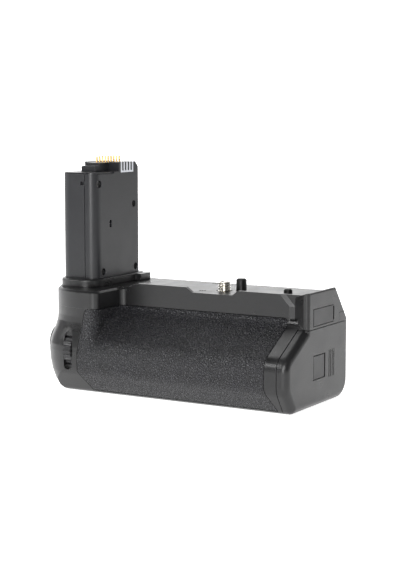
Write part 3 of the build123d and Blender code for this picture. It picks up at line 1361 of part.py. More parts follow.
battery_tray.part.label = "battery_tray"
export_step(battery_tray.part, "parts/battery_tray.step")

CONTACT_BLOCK_THICKNESS = 1.0
CONTACT_BLOCK_LENGTH = 18.0
CONTACT_BLOCK_HEIGHT = 7.0
CONTACT_BLADE_COUNT = 4
CONTACT_BLADE_WIDTH = 1.6
CONTACT_BLADE_PROUD = 0.8
for number, start_x in enumerate(CELL_STARTS, start=1):
    contact_z = TRAY_LOW_Z + TRAY_FLOOR + CONTACT_BLOCK_HEIGHT / 2
    contact_plane = Plane(
        origin=(start_x, (TRAY_FRONT_Y + TRAY_REAR_Y) / 2, contact_z),
        x_dir=(0, 1, 0),
        z_dir=(1, 0, 0),
    )
    with BuildPart() as tray_contacts:
        with BuildSketch(contact_plane):
            Rectangle(CONTACT_BLOCK_LENGTH, CONTACT_BLOCK_HEIGHT)
        extrude(amount=CONTACT_BLOCK_THICKNESS)
        with BuildSketch(contact_plane):
            with GridLocations(CONTACT_BLOCK_LENGTH / CONTACT_BLADE_COUNT, 0, CONTACT_BLADE_COUNT, 1):
                Rectangle(CONTACT_BLADE_WIDTH, CONTACT_BLOCK_HEIGHT * 2 / 3)
        extrude(amount=CONTACT_BLOCK_THICKNESS + CONTACT_BLADE_PROUD)
    tray_contacts.part.label = f"tray_contacts_{number}"
    export_step(tray_contacts.part, f"parts/tray_contacts_{number}.step")

GRIP_RIB_COUNT = 4
GRIP_RIB_PITCH = 1.7
GRIP_RIB_WIDTH = 0.7
GRIP_RIB_DEPTH = 0.5
GRIP_RIB_HEIGHT = 12.7
GRIP_RIB_ASIDE = 6.95
GRIP_RIB_Y = LATCH_REAR_Y + GRIP_RIB_ASIDE
GRIP_RIB_Z = (LATCH_LOW_Z + LATCH_TOP_Z) / 2
with BuildPart() as tray_cover:
    add(OUTER)
    add(
        slab((COVER_X, FAR_RIGHT), (FAR_FRONT, FAR_REAR), (BELOW, COVER_TOP_Z)),
        mode=Mode.INTERSECT,
    )
    add(
        slab(
            (RIGHT_X - LATCH_POCKET_DEPTH, FAR_RIGHT),
            (LATCH_FRONT_Y - LATCH_GAP, LATCH_REAR_Y + LATCH_GAP),
            (LATCH_LOW_Z - LATCH_GAP, LATCH_TOP_Z + LATCH_GAP),
        ),
        mode=Mode.SUBTRACT,
    )
    add(
        slab(
            (COVER_X - OVERRUN, FAR_RIGHT),
            (LATCH_FRONT_Y - LATCH_GAP, HOOK_REAR_Y + SWING_ROOM),
            (POST_LOW_Z - LATCH_GAP, POST_LOW_Z + POST_HEIGHT + LATCH_GAP),
        ),
        mode=Mode.SUBTRACT,
    )
    with BuildSketch(
        Plane(origin=(LATCH_PIN_X, LATCH_PIN_Y, LATCH_LOW_Z - LATCH_GAP - LATCH_PIN_EXTRA))
    ):
        Circle(LATCH_PIN_RADIUS)
    extrude(
        amount=LATCH_TOP_Z - LATCH_LOW_Z + 2 * (LATCH_GAP + LATCH_PIN_EXTRA), mode=Mode.SUBTRACT
    )
    # Finger grip beside the latch
    with BuildSketch(Plane.YZ.offset(RIGHT_X)):
        with Locations((GRIP_RIB_Y, GRIP_RIB_Z)):
            with GridLocations(GRIP_RIB_PITCH, 0, GRIP_RIB_COUNT, 1):
                Rectangle(GRIP_RIB_WIDTH, GRIP_RIB_HEIGHT)
    extrude(amount=-GRIP_RIB_DEPTH, mode=Mode.SUBTRACT)
tray_cover.part.label = "tray_cover"
export_step(tray_cover.part, "parts/tray_cover.step")

with BuildPart() as tray_latch:
    add(
        slab(
            (RIGHT_X - LATCH_THICKNESS, RIGHT_X),
            (LATCH_FRONT_Y, LATCH_PIN_Y),
            (LATCH_LOW_Z, LATCH_TOP_Z),
        )
    )
    with BuildSketch(Plane(origin=(LATCH_PIN_X, LATCH_PIN_Y, LATCH_LOW_Z))):
        Circle(LATCH_BARREL_RADIUS)
    extrude(amount=LATCH_TOP_Z - LATCH_LOW_Z)
    add(
        slab(
            (HOOK_X - HOOK_THICKNESS, RIGHT_X - LATCH_THICKNESS / 2),
            (LATCH_FRONT_Y, HOOK_REAR_Y),
            (POST_LOW_Z, POST_LOW_Z + POST_HEIGHT),
        )
    )
    add(
        slab(
            (HOOK_X - HOOK_THICKNESS, HOOK_X),
            (LATCH_FRONT_Y, HOOK_REAR_Y),
            (POST_LOW_Z, BAY_TOP_Z + HOOK_RISE),
        )
    )
    with BuildSketch(Plane(origin=(LATCH_PIN_X, LATCH_PIN_Y, LATCH_LOW_Z))):
        Circle(LATCH_PIN_RADIUS + RUNNING_CLEARANCE)
    extrude(amount=LATCH_TOP_Z - LATCH_LOW_Z, mode=Mode.SUBTRACT)
tray_latch.part.label = "tray_latch"
export_step(tray_latch.part, "parts/tray_latch.step")

with BuildPart() as latch_pin:
    with BuildSketch(
        Plane(origin=(LATCH_PIN_X, LATCH_PIN_Y, LATCH_LOW_Z - LATCH_GAP - LATCH_PIN_EXTRA))
    ):
        Circle(LATCH_PIN_RADIUS)
    extrude(amount=LATCH_TOP_Z - LATCH_LOW_Z + 2 * (LATCH_GAP + LATCH_PIN_EXTRA))
latch_pin.part.label = "latch_pin"
export_step(latch_pin.part, "parts/latch_pin.step")

# Dials and their shafts
DIAL_KNURLS = 24
REAR_DIAL_KNURLS = 18
for name, x, y, z, radius, width, count in (
    ("front_dial", DIAL_X, DIAL_Y, DIAL_Z, DIAL_RADIUS, DIAL_WIDTH, DIAL_KNURLS),
    (
        "rear_dial",
        REAR_DIAL_X,
        REAR_DIAL_Y,
        CONTROL_Z,
        REAR_DIAL_RADIUS,
        REAR_DIAL_WIDTH,
        REAR_DIAL_KNURLS,
    ),
):
    with BuildPart() as dial:
        with BuildSketch(dial_plane(x, y, z, width)):
            toothed_disc(count, radius - KNURL_DEPTH, radius, KNURL_WIDTH, KNURL_WIDTH / 2)
            Circle(DIAL_SHAFT_RADIUS + RUNNING_CLEARANCE, mode=Mode.SUBTRACT)
        extrude(amount=width)
    dial.part.label = name
    export_step(dial.part, f"parts/{name}.step")
    with BuildPart() as shaft:
        with BuildSketch(dial_plane(x, y, z, width + 2 * DIAL_SHAFT_SEAT)):
            Circle(DIAL_SHAFT_RADIUS)
        extrude(amount=width + 2 * DIAL_SHAFT_SEAT)
    shaft.part.label = f"{name}_shaft"
    export_step(shaft.part, f"parts/{name}_shaft.step")

# Shutter button inside its lock ring
SHUTTER_EDGE = 1.2
RING_EDGE = 0.5
RING_NUB_WIDTH = 2.4
RING_NUB_HEIGHT = 0.5
with BuildPart() as shutter_button:
    with BuildSketch(left_plane(LEFT_X + SHUTTER_LENGTH)):
        Circle(SHUTTER_RADIUS)
    extrude(amount=SHUTTER_LENGTH)
    fillet(shutter_button.faces().sort_by(Axis.X)[0].edges(), SHUTTER_EDGE)
shutter_button.part.label = "shutter_button"
export_step(shutter_button.part, "parts/shutter_button.step")

with BuildPart() as shutter_lock_ring:
    with BuildSketch(left_plane(LEFT_X + RING_SEAT_DEPTH - GAP)):
        Circle(RING_RADIUS)
        Circle(RING_RADIUS - RING_WIDTH, mode=Mode.SUBTRACT)
    extrude(amount=RING_SEAT_DEPTH - GAP - RING_NUB_HEIGHT)
    with BuildSketch(left_plane(LEFT_X + RING_NUB_HEIGHT)):
        with Locations((RING_RADIUS - RING_WIDTH / 2, 0)):
            Rectangle(RING_WIDTH * 2 / 3, RING_NUB_WIDTH)
    extrude(amount=RING_NUB_HEIGHT)
shutter_lock_ring.part.label = "shutter_lock_ring"
export_step(shutter_lock_ring.part, "parts/shutter_lock_ring.step")

# Rear buttons
BUTTON_EDGE = 0.5
for name, x in (("focus_button", FOCUS_X), ("function_button", FUNCTION_X)):
    with BuildPart() as button:
        with BuildSketch(rear_plane(x, CONTROL_Z, BUTTON_LENGTH)):
            Circle(BUTTON_RADIUS)
        extrude(amount=BUTTON_LENGTH + BUTTON_PROUD)
        fillet(button.faces().sort_by(Axis.Y)[-1].edges(), BUTTON_EDGE)
    button.part.label = name
    export_step(button.part, f"parts/{name}.step")

# Selector stick in its gimbal ring
SELECTOR_PIVOT = Plane(
    origin=(SELECTOR_X, REAR_Y - SELECTOR_PIVOT_DEPTH, CONTROL_Z), x_dir=(1, 0, 0), z_dir=(0, 1, 0)
)
SELECTOR_DISH_RADIUS = 7.0
SELECTOR_DISH_DEPTH = 0.4
with BuildPart() as selector_gimbal:
    with BuildSketch(SELECTOR_PIVOT.offset(-GIMBAL_THICKNESS / 2)):
        Circle(GIMBAL_RADIUS)
        Circle(GIMBAL_BORE, mode=Mode.SUBTRACT)
    extrude(amount=GIMBAL_THICKNESS)
    with BuildSketch(Plane(origin=SELECTOR_PIVOT.origin, x_dir=(0, 1, 0), z_dir=(1, 0, 0))):
        Circle(TRUNNION_RADIUS)
    extrude(amount=SELECTOR_POCKET_RADIUS + TRUNNION_SEAT / 2, both=True)
    with BuildSketch(SELECTOR_PIVOT.offset(-GIMBAL_THICKNESS / 2)):
        Circle(GIMBAL_BORE)
    extrude(amount=GIMBAL_THICKNESS, mode=Mode.SUBTRACT)
    with BuildSketch(Plane(origin=SELECTOR_PIVOT.origin)):
        Circle(TRUNNION_RADIUS + RUNNING_CLEARANCE)
    extrude(amount=GIMBAL_RADIUS, both=True, mode=Mode.SUBTRACT)
selector_gimbal.part.label = "selector_gimbal"
export_step(selector_gimbal.part, "parts/selector_gimbal.step")

with BuildPart() as selector_stick:
    with BuildSketch(SELECTOR_PIVOT):
        Circle(SELECTOR_STEM_RADIUS)
    extrude(amount=SELECTOR_PIVOT_DEPTH)
    with BuildSketch(SELECTOR_PIVOT.offset(SELECTOR_PIVOT_DEPTH + SELECTOR_PROUD)):
        Circle(SELECTOR_CAP_RADIUS)
    extrude(amount=-SELECTOR_CAP_THICKNESS)
    fillet(selector_stick.faces().sort_by(Axis.Y)[-1].edges(), BUTTON_EDGE)
    with Locations(SELECTOR_PIVOT.origin):
        Sphere(SELECTOR_HUB_RADIUS)
    with BuildSketch(Plane(origin=SELECTOR_PIVOT.origin)):
        Circle(TRUNNION_RADIUS)
    extrude(amount=(GIMBAL_BORE + GIMBAL_RADIUS) / 2, both=True)
    dish_depth = SELECTOR_PIVOT_DEPTH + SELECTOR_PROUD + SELECTOR_DISH_RADIUS - SELECTOR_DISH_DEPTH
    with Locations(SELECTOR_PIVOT.offset(dish_depth).origin):
        Sphere(SELECTOR_DISH_RADIUS, mode=Mode.SUBTRACT)
selector_stick.part.label = "selector_stick"
export_step(selector_stick.part, "parts/selector_stick.step")

# Circuit board in the upper housing
BOARD_THICKNESS = 1.2
BOARD_CLEARANCE = 4.6
BOARD_WIDTH = 27.0
BOARD_X = PLATE_LEFT_X + PLATE_EDGE + GAP
BOARD_Y = PLATE_FRONT_Y + PLATE_EDGE + GAP
with BuildPart() as main_circuit_board:
    add(
        slab(
            (BOARD_X, WHEEL_X - WHEEL_RADIUS - BOARD_CLEARANCE),
            (BOARD_Y, BOARD_Y + BOARD_WIDTH),
            (SPLIT_Z, SPLIT_Z + BOARD_THICKNESS),
        )
    )
main_circuit_board.part.label = "main_circuit_board"
export_step(main_circuit_board.part, "parts/main_circuit_board.step")
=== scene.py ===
from math import cos, pi, radians, sin

import bpy
import bmesh
import numpy as np
from mathutils import Matrix, Vector
from mathutils.bvhtree import BVHTree


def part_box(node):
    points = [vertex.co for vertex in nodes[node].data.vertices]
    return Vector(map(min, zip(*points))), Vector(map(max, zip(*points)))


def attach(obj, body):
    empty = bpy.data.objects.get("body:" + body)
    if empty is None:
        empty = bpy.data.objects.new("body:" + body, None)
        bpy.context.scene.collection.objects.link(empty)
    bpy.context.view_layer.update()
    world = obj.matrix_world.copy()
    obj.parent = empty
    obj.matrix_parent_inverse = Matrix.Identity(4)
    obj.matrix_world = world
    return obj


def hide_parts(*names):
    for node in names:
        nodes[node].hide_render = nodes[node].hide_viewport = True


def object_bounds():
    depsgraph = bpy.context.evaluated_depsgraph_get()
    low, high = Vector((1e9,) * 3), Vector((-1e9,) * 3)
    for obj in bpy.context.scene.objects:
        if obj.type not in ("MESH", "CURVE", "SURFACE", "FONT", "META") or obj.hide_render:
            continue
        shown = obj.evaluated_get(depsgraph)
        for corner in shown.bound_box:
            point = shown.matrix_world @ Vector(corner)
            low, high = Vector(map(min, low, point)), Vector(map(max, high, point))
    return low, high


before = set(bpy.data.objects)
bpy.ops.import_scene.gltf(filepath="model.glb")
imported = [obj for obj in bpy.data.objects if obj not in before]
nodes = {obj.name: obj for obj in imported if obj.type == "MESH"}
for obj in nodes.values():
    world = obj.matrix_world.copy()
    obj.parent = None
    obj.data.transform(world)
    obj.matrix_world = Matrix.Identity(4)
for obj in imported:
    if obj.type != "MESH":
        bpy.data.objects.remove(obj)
cad_low, cad_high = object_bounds()
MM = 0.001


# Materials

# A noise is stretched from one of these spans, from the narrow one for more contrast
WIDE_SPAN = (0.3, 0.7)
NARROW_SPAN = (0.35, 0.65)
# Colour sockets of a mix node, by their numbers
MIX_FIRST, MIX_SECOND, MIX_RESULT = 6, 7, 2
ROUNDING_SAMPLES = 6
MOULDED_IOR = 1.5


class Shader:
    """Builds one node material, with short calls for the nodes that the looks share."""

    def __init__(self, name, **values):
        self.material = bpy.data.materials.new(name)
        self.material.use_nodes = True
        self.tree = self.material.node_tree
        self.bsdf = self.tree.nodes["Principled BSDF"]
        self.place = self.node("ShaderNodeTexCoord").outputs["Object"]
        for socket, value in values.items():
            self.bsdf.inputs[socket.replace("_", " ")].default_value = value

    def node(self, kind, **inputs):
        made = self.tree.nodes.new(kind)
        for socket, value in inputs.items():
            self.put(made.inputs[socket.replace("_", " ")], value)
        return made

    def put(self, socket, value):
        if isinstance(value, bpy.types.NodeSocket):
            self.tree.links.new(value, socket)
        else:
            socket.default_value = value

    def noise(self, size_mm, detail=2.0, result="Fac"):
        """Noise whose features are about that many millimetres across."""
        made = self.node("ShaderNodeTexNoise", Vector=self.place, Scale=1 / (size_mm * MM), Detail=detail)
        return made.outputs[result]

    def cells(self, size_mm, crease_share):
        """Flat-topped cells about that size, 0 in the creases and 1 past their share of the size."""
        made = self.node("ShaderNodeTexVoronoi", Vector=self.place, Scale=1 / (size_mm * MM))
        made.feature = "DISTANCE_TO_EDGE"
        return self.span(made.outputs["Distance"], 0, crease_share, 0, 1)

    def span(self, value, from_low, from_high, low, high):
        made = self.node("ShaderNodeMapRange", Value=value)
        for socket, number in zip(
            ("From Min", "From Max", "To Min", "To Max"), (from_low, from_high, low, high)
        ):
            made.inputs[socket].default_value = number
        return made.outputs["Result"]

    def blend(self, share, first, second):
        made = self.tree.nodes.new("ShaderNodeMix")
        made.data_type = "RGBA"
        self.put(made.inputs[0], share)
        made.inputs[MIX_FIRST].default_value = (*first, 1)
        made.inputs[MIX_SECOND].default_value = (*second, 1)
        return made.outputs[MIX_RESULT]

    def joined(self, operation, first, second):
        made = self.tree.nodes.new("ShaderNodeMath")
        made.operation = operation
        self.put(made.inputs[0], first)
        self.put(made.inputs[1], second)
        return made.outputs[0]

    def add(self, first, second):
        return self.joined("ADD", first, second)

    def times(self, first, second):
        return self.joined("MULTIPLY", first, second)

    def relief(self, height, depth_mm, strength, edge_mm):
        """Bumps of that depth, on edges rounded by that radius."""
        rounded = self.tree.nodes.new("ShaderNodeBevel")
        rounded.samples = ROUNDING_SAMPLES
        rounded.inputs["Radius"].default_value = edge_mm * MM
        bump = self.node("ShaderNodeBump", Height=height, Normal=rounded.outputs["Normal"])
        bump.inputs["Distance"].default_value = depth_mm * MM
        bump.inputs["Strength"].default_value = strength
        self.tree.links.new(bump.outputs["Normal"], self.bsdf.inputs["Normal"])


PLASTIC_PATCH_MM = 9
PATCH_TONE_SHARE = 0.5
PLASTIC_SMOOTHER = 0.04
PLASTIC_ROUGHER = 0.05


def moulded(name, dark, light, rough, grain_mm, grain_depth_mm, edge_mm=0.35, strength=0.5):
    """Spark-textured moulded plastic, a little uneven in tone and gloss."""
    look = Shader(name, IOR=MOULDED_IOR)
    patches = look.noise(PLASTIC_PATCH_MM, detail=3)
    grain = look.noise(grain_mm, detail=2)
    patch_tone = look.span(patches, *WIDE_SPAN, 0, PATCH_TONE_SHARE)
    tone = look.add(patch_tone, look.span(grain, *NARROW_SPAN, 0, 1 - PATCH_TONE_SHARE))
    gloss = look.span(patches, *WIDE_SPAN, rough - PLASTIC_SMOOTHER, rough + PLASTIC_ROUGHER)
    look.put(look.bsdf.inputs["Base Color"], look.blend(tone, dark, light))
    look.put(look.bsdf.inputs["Roughness"], gloss)
    look.relief(grain, grain_depth_mm, strength, edge_mm)
    return look.material


LEATHER_PATCH_MM = 6
LEATHER_BEND_SIZE_MM = 1.8
LEATHER_BEND_MM = 0.7
PEBBLE_MM = 1.2
PEBBLE_CREASE_SHARE = 0.2
SMALL_PEBBLE_MM = 0.45
SMALL_CREASE_SHARE = 0.25
LEATHER_GRAIN_MM = 0.3
PEBBLE_SHARE, SMALL_SHARE, GRAIN_SHARE = 0.7, 0.2, 0.1
# The pebble cells' share of the tone paints shade into the creases, which blend to a much darker black
# than the pebble tops; the rest of the tone is random unevenness
CREASE_SHADE_SHARE = 0.75
CREASE_SHADE_BLACK = (0.001, 0.001, 0.001)
PEBBLE_BLACK = (0.013, 0.013, 0.017)
CREASE_ROUGH, PEBBLE_ROUGH = 0.6, 0.24
LEATHER_DEPTH_MM = 0.42
LEATHER_EDGE_MM = 0.3


def leather_grain(name):
    """Pebbled rubber skin: flat-topped pebbles about a millimetre across between deep creases, with
    painted shade darkening the creases.
    """
    look = Shader(name, IOR=MOULDED_IOR)
    patches = look.noise(LEATHER_PATCH_MM, detail=2)
    bend = look.node("ShaderNodeVectorMath")
    bend.operation = "MULTIPLY_ADD"
    look.put(bend.inputs[0], look.noise(LEATHER_BEND_SIZE_MM, detail=2, result="Color"))
    bend.inputs[1].default_value = [LEATHER_BEND_MM * MM] * 3
    look.put(bend.inputs[2], look.place)
    look.place = bend.outputs[0]
    pebble = look.cells(PEBBLE_MM, PEBBLE_CREASE_SHARE)
    small = look.cells(SMALL_PEBBLE_MM, SMALL_CREASE_SHARE)
    grain = look.noise(LEATHER_GRAIN_MM, detail=2)
    detail = look.add(look.times(small, SMALL_SHARE), look.times(grain, GRAIN_SHARE))
    height = look.add(look.times(pebble, PEBBLE_SHARE), detail)
    unevenness = look.span(patches, *WIDE_SPAN, 0, 1 - CREASE_SHADE_SHARE)
    # Tone: painted shade in the creases from the pebble cells, plus random unevenness in patches
    tone = look.add(look.times(pebble, CREASE_SHADE_SHARE), unevenness)
    look.put(look.bsdf.inputs["Base Color"], look.blend(tone, CREASE_SHADE_BLACK, PEBBLE_BLACK))
    look.put(look.bsdf.inputs["Roughness"], look.span(pebble, 0, 1, CREASE_ROUGH, PEBBLE_ROUGH))
    look.relief(height, LEATHER_DEPTH_MM, 1, LEATHER_EDGE_MM)
    return look.material


METAL_MARKS_MM = 0.4
METAL_DIM_SHARE = 0.8
METAL_SMOOTHER = 0.05
METAL_ROUGHER = 0.07
METAL_DEPTH_MM = 0.02
METAL_STRENGTH = 0.2
METAL_EDGE_MM = 0.12


def metal(name, colour, rough):
    """Plated metal with fine marks that dim it and take off some gloss."""
    look = Shader(name, Metallic=1.0)
    marks = look.noise(METAL_MARKS_MM, detail=3)
    dim = [part * METAL_DIM_SHARE for part in colour]
    gloss = look.span(marks, *WIDE_SPAN, rough - METAL_SMOOTHER, rough + METAL_ROUGHER)
    look.put(look.bsdf.inputs["Base Color"], look.blend(marks, dim, colour))
    look.put(look.bsdf.inputs["Roughness"], gloss)
    look.relief(marks, METAL_DEPTH_MM, METAL_STRENGTH, METAL_EDGE_MM)
    return look.material


HOUSING = moulded(
    "housing_plastic", (0.004, 0.004, 0.004), (0.010, 0.010, 0.011),
    rough=0.31, grain_mm=0.45, grain_depth_mm=0.09,
)
TOWER = moulded(
    "tower_plastic", (0.006, 0.006, 0.008), (0.011, 0.012, 0.014),
    rough=0.33, grain_mm=0.5, grain_depth_mm=0.02, edge_mm=0.3, strength=0.3,
)
PLATE = moulded(
    "plate_plastic", (0.008, 0.008, 0.009), (0.014, 0.014, 0.015),
    rough=0.34, grain_mm=0.3, grain_depth_mm=0.03, edge_mm=0.2, strength=0.2,
)
CONTROL = moulded(
    "control_plastic", (0.007, 0.007, 0.008), (0.014, 0.014, 0.015),
    rough=0.4, grain_mm=0.4, grain_depth_mm=0.03,
)
DARK = moulded(
    "black_metal", (0.003, 0.003, 0.003), (0.006, 0.006, 0.006),
    rough=0.32, grain_mm=0.3, grain_depth_mm=0.02, edge_mm=0.15,
)
MATT = moulded(
    "matt_black", (0.001, 0.001, 0.001), (0.003, 0.003, 0.003),
    rough=0.85, grain_mm=0.3, grain_depth_mm=0.02, edge_mm=0.1,
)
SKIN = leather_grain("grained_skin")
STEEL = metal("plated_steel", (0.75, 0.72, 0.66), rough=0.24)
GOLD = metal("gold_plate", (0.95, 0.66, 0.28), rough=0.22)
COMB = metal("contact_comb_plate", (0.72, 0.74, 0.78), rough=0.35)
BOARD = moulded(
    "circuit_board", (0.004, 0.05, 0.02), (0.01, 0.08, 0.035),
    rough=0.4, grain_mm=0.5, grain_depth_mm=0.02, edge_mm=0.1,
)

looks = {
    HOUSING: "lower_housing upper_housing tray_cover tower_collar battery_tray",
    TOWER: "tower_shell tower_cover contact_plinth",
    PLATE: "camera_plate",
    MATT: "screw_seat_ring",
    CONTROL: "tray_latch usb_door attachment_wheel front_dial rear_dial "
             "shutter_button shutter_lock_ring focus_button function_button selector_gimbal "
             "selector_stick",
    DARK: "locating_pin stub_pin tower_screw_1 tower_screw_2 tower_screw_3 tower_screw_4 "
          "base_screw_1 base_screw_2 base_screw_3 base_screw_4",
    SKIN: "grip_skin thumb_skin",
    STEEL: "tripod_screw tripod_bush usb_socket wheel_shaft door_pin latch_pin "
           "front_dial_shaft rear_dial_shaft",
    GOLD: "contact_pins tray_contacts_1 tray_contacts_2",
    COMB: "battery_contact_comb",
    BOARD: "tower_circuit_board main_circuit_board",
}
for material, names in looks.items():
    for name in names.split():
        mesh = nodes[name].data
        mesh.materials.clear()
        mesh.materials.append(material)


# Pieces

def piece(name, mesh_maker, material, body):
    """A new mesh piece that rides on a body."""
    mesh = bpy.data.meshes.new(name)
    work = bmesh.new()
    mesh_maker(work)
    bmesh.ops.recalc_face_normals(work, faces=work.faces)
    work.to_mesh(mesh)
    work.free()
    made = bpy.data.objects.new(name, mesh)
    bpy.context.scene.collection.objects.link(made)
    mesh.materials.append(material)
    mesh.shade_smooth()
    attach(made, body)
    return made


# Rubber over the grip skin, as heights in front of a grid of steps
SKIN_STEP = 0.5 * MM
SKIN_SOFTNESS = 11
SKIN_RAY_START = 10 * MM
SKIN_TRIM_STEPS = 1
SKIN_BORDER_STEPS = 3
SKIN_FADE_STEPS = 10
SKIN_DEEPEST_STEP = 16
SKIN_BORDER_SINK = 0.1 * MM
SKIN_LIFT = 0.03 * MM
# The saddle fades along the grip to its least share
SADDLE_FADE_END = 12 * MM
SADDLE_FADE_LENGTH = 30 * MM
SADDLE_LEAST_SHARE = 0.25
LEAST_WEIGHT = 1e-6


def softened(field, known, reach):
    """The field blurred over that many steps, two widths of a bell curve, from its known points."""
    span = np.arange(-2 * reach, 2 * reach + 1)
    weights = np.exp(-2 * (span / reach) ** 2)

    def blurred(values):
        for axis in (0, 1):
            values = np.apply_along_axis(np.convolve, axis, values, weights, mode="same")
        return values

    return blurred(np.where(known, field, 0)) / np.maximum(blurred(known.astype(float)), LEAST_WEIGHT)


def depth_inside(known, most):
    """How many steps each point lies inside the edge of the known points."""
    depth = np.zeros(known.shape)
    inside = known.copy()
    for _ in range(most):
        depth += inside
        padded = np.pad(inside, 1)
        inside = inside & padded[2:, 1:-1] & padded[:-2, 1:-1] & padded[1:-1, 2:] & padded[1:-1, :-2]
    return depth


def skin_cover():
    """The rubber of the grip skin, which fills the hollow between neck and belly in a soft saddle."""
    low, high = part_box("grip_skin")
    shape = BVHTree.FromObject(nodes["grip_skin"], bpy.context.evaluated_depsgraph_get())
    xs = np.arange(low[0] + SKIN_STEP / 2, high[0], SKIN_STEP)
    zs = np.arange(low[2] + SKIN_STEP / 2, high[2], SKIN_STEP)
    face = np.zeros((len(xs), len(zs)))
    known = np.zeros(face.shape, bool)
    for i, x in enumerate(xs):
        for j, z in enumerate(zs):
            hit = shape.ray_cast(Vector((x, low[1] - SKIN_RAY_START, z)), Vector((0, 1, 0)))[0]
            if hit is not None:
                face[i, j], known[i, j] = hit.y, True
    depth = depth_inside(known, SKIN_DEEPEST_STEP)
    inner = np.clip((depth - SKIN_BORDER_STEPS) / SKIN_FADE_STEPS, 0, 1)
    along = (SADDLE_FADE_END - xs) / SADDLE_FADE_LENGTH
    nearness = np.clip(along, SADDLE_LEAST_SHARE, 1)[:, None]
    soft = softened(face, known, SKIN_SOFTNESS)
    soft = face + (soft - face) * inner * nearness
    raised = np.minimum(face - SKIN_LIFT, soft)
    cover = np.where(depth < SKIN_BORDER_STEPS, face + SKIN_BORDER_SINK, raised)

    def make(work):
        corners = {}
        for i, j in zip(*np.nonzero(known & (depth > SKIN_TRIM_STEPS))):
            corners[i, j] = work.verts.new((xs[i], cover[i, j], zs[j]))
        for i, j in corners:
            around = [(i, j), (i + 1, j), (i + 1, j + 1), (i, j + 1)]
            if all(place in corners for place in around):
                work.faces.new([corners[place] for place in around])

    piece("grip_skin_rubber", make, SKIN, "grip")


PLATE_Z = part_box("camera_plate")[1][2]
THREAD_PITCH = 1.27 * MM
THREAD_DEPTH = 0.55 * MM
THREAD_FLANK_SLOPE = 2.4
THREAD_BELOW_PLATE = 0.8 * MM
THREAD_LEAD_LENGTH = 0.6 * MM
THREAD_LEAD_DEPTH = 0.35 * MM
SHANK_ABOVE_PLATE = 0.1 * MM
DISH_RIM_SHARE = 0.6
DISH_FLOOR_SHARE = 0.5
DISH_DEPTH = 0.7 * MM
TURN_STEPS = 48
RISE_STEPS = 64


def threaded_screw():
    """The camera screw with its gear as in the CAD and a cut thread and dished end above the plate."""
    low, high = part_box("tripod_screw")
    middle = Vector(((low[0] + high[0]) / 2, (low[1] + high[1]) / 2, 0))
    base_z = PLATE_Z - THREAD_BELOW_PLATE
    crest = max(
        (vertex.co.xy - middle.xy).length
        for vertex in nodes["tripod_screw"].data.vertices
        if vertex.co.z > PLATE_Z + SHANK_ABOVE_PLATE
    )

    def ring(work, radius_at, z):
        return [
            work.verts.new((
                middle.x + radius_at(step / TURN_STEPS) * cos(2 * pi * step / TURN_STEPS),
                middle.y + radius_at(step / TURN_STEPS) * sin(2 * pi * step / TURN_STEPS),
                z,
            ))
            for step in range(TURN_STEPS)
        ]

    def join(work, first, second):
        for step in range(TURN_STEPS):
            after = (step + 1) % TURN_STEPS
            work.faces.new((first[step], first[after], second[after], second[step]))

    def make(work):
        work.from_mesh(nodes["tripod_screw"].data)
        shank = [vertex for vertex in work.verts if vertex.co.z > PLATE_Z + SHANK_ABOVE_PLATE]
        bmesh.ops.delete(work, geom=shank, context="VERTS")
        rings = []
        for rise in range(RISE_STEPS + 1):
            z = base_z + (high[2] - base_z) * rise / RISE_STEPS
            lead = min(1, (high[2] - z) / THREAD_LEAD_LENGTH)

            def thread(turn, z=z, lead=lead):
                phase = (z / THREAD_PITCH - turn) % 1
                cut = THREAD_DEPTH * min(1, THREAD_FLANK_SLOPE * abs(phase - 0.5))
                return crest - cut - (1 - lead) * THREAD_LEAD_DEPTH

            rings.append(ring(work, thread, z))
        for below, above in zip(rings, rings[1:]):
            join(work, below, above)
        rim = ring(work, lambda turn: DISH_RIM_SHARE * crest, high[2])
        dish = ring(work, lambda turn: DISH_FLOOR_SHARE * crest, high[2] - DISH_DEPTH)
        join(work, rings[-1], rim)
        join(work, rim, dish)
        work.faces.new(dish)

    screw = piece("camera_screw_threaded", make, STEEL, "screw")
    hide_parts("tripod_screw")


MARK_SLOPE_SHARE = 0.12


def mark(work, corners, rise, normal):
    """A thin raised bar with sloping sides, drawn in a little at its top."""
    middle = sum((Vector(corner) for corner in corners), Vector()) / len(corners)
    foot = [work.verts.new(corner) for corner in corners]
    top = [
        work.verts.new(Vector(corner).lerp(middle, MARK_SLOPE_SHARE) + Vector(normal) * rise)
        for corner in corners
    ]
    for step in range(len(corners)):
        after = (step + 1) % len(corners)
        work.faces.new((foot[step], foot[after], top[after], top[step]))
    work.faces.new(top)


PLATE_MARK_GROUPS = ((-3.2 * MM, 28.0 * MM), (5.8 * MM, -0.2 * MM))
PLATE_MARKS_IN_GROUP = 3
PLATE_MARK_ACROSS = 1.15 * MM
PLATE_MARK_BACK = 0.3 * MM
PLATE_MARK_SIZE = 0.8 * MM
PLATE_MARK_RISE = 0.12 * MM


def plate_marks():
    """Two groups of three short moulded bars on the camera plate."""

    def make(work):
        for x, y in PLATE_MARK_GROUPS:
            for number in range(PLATE_MARKS_IN_GROUP):
                left, near = x + PLATE_MARK_ACROSS * number, y + PLATE_MARK_BACK * number
                right, far = left + PLATE_MARK_SIZE, near + PLATE_MARK_SIZE
                corners = [
                    (left, near, PLATE_Z),
                    (right, near, PLATE_Z),
                    (right, far, PLATE_Z),
                    (left, far, PLATE_Z),
                ]
                mark(work, corners, PLATE_MARK_RISE, (0, 0, 1))

    piece("plate_marks", make, MATT, "grip")


SEAM_ABOVE_SKIN = 0.3 * MM
SEAM_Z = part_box("grip_skin")[1][2] + SEAM_ABOVE_SKIN
SEAM_HALF = 0.11 * MM
SEAM_RISE = 0.02 * MM
SEAM_BEHIND_DOOR = 6.6 * MM
SEAM_ABOVE_COVER = 0.2 * MM
SEAM_LENGTH = 7.2 * MM


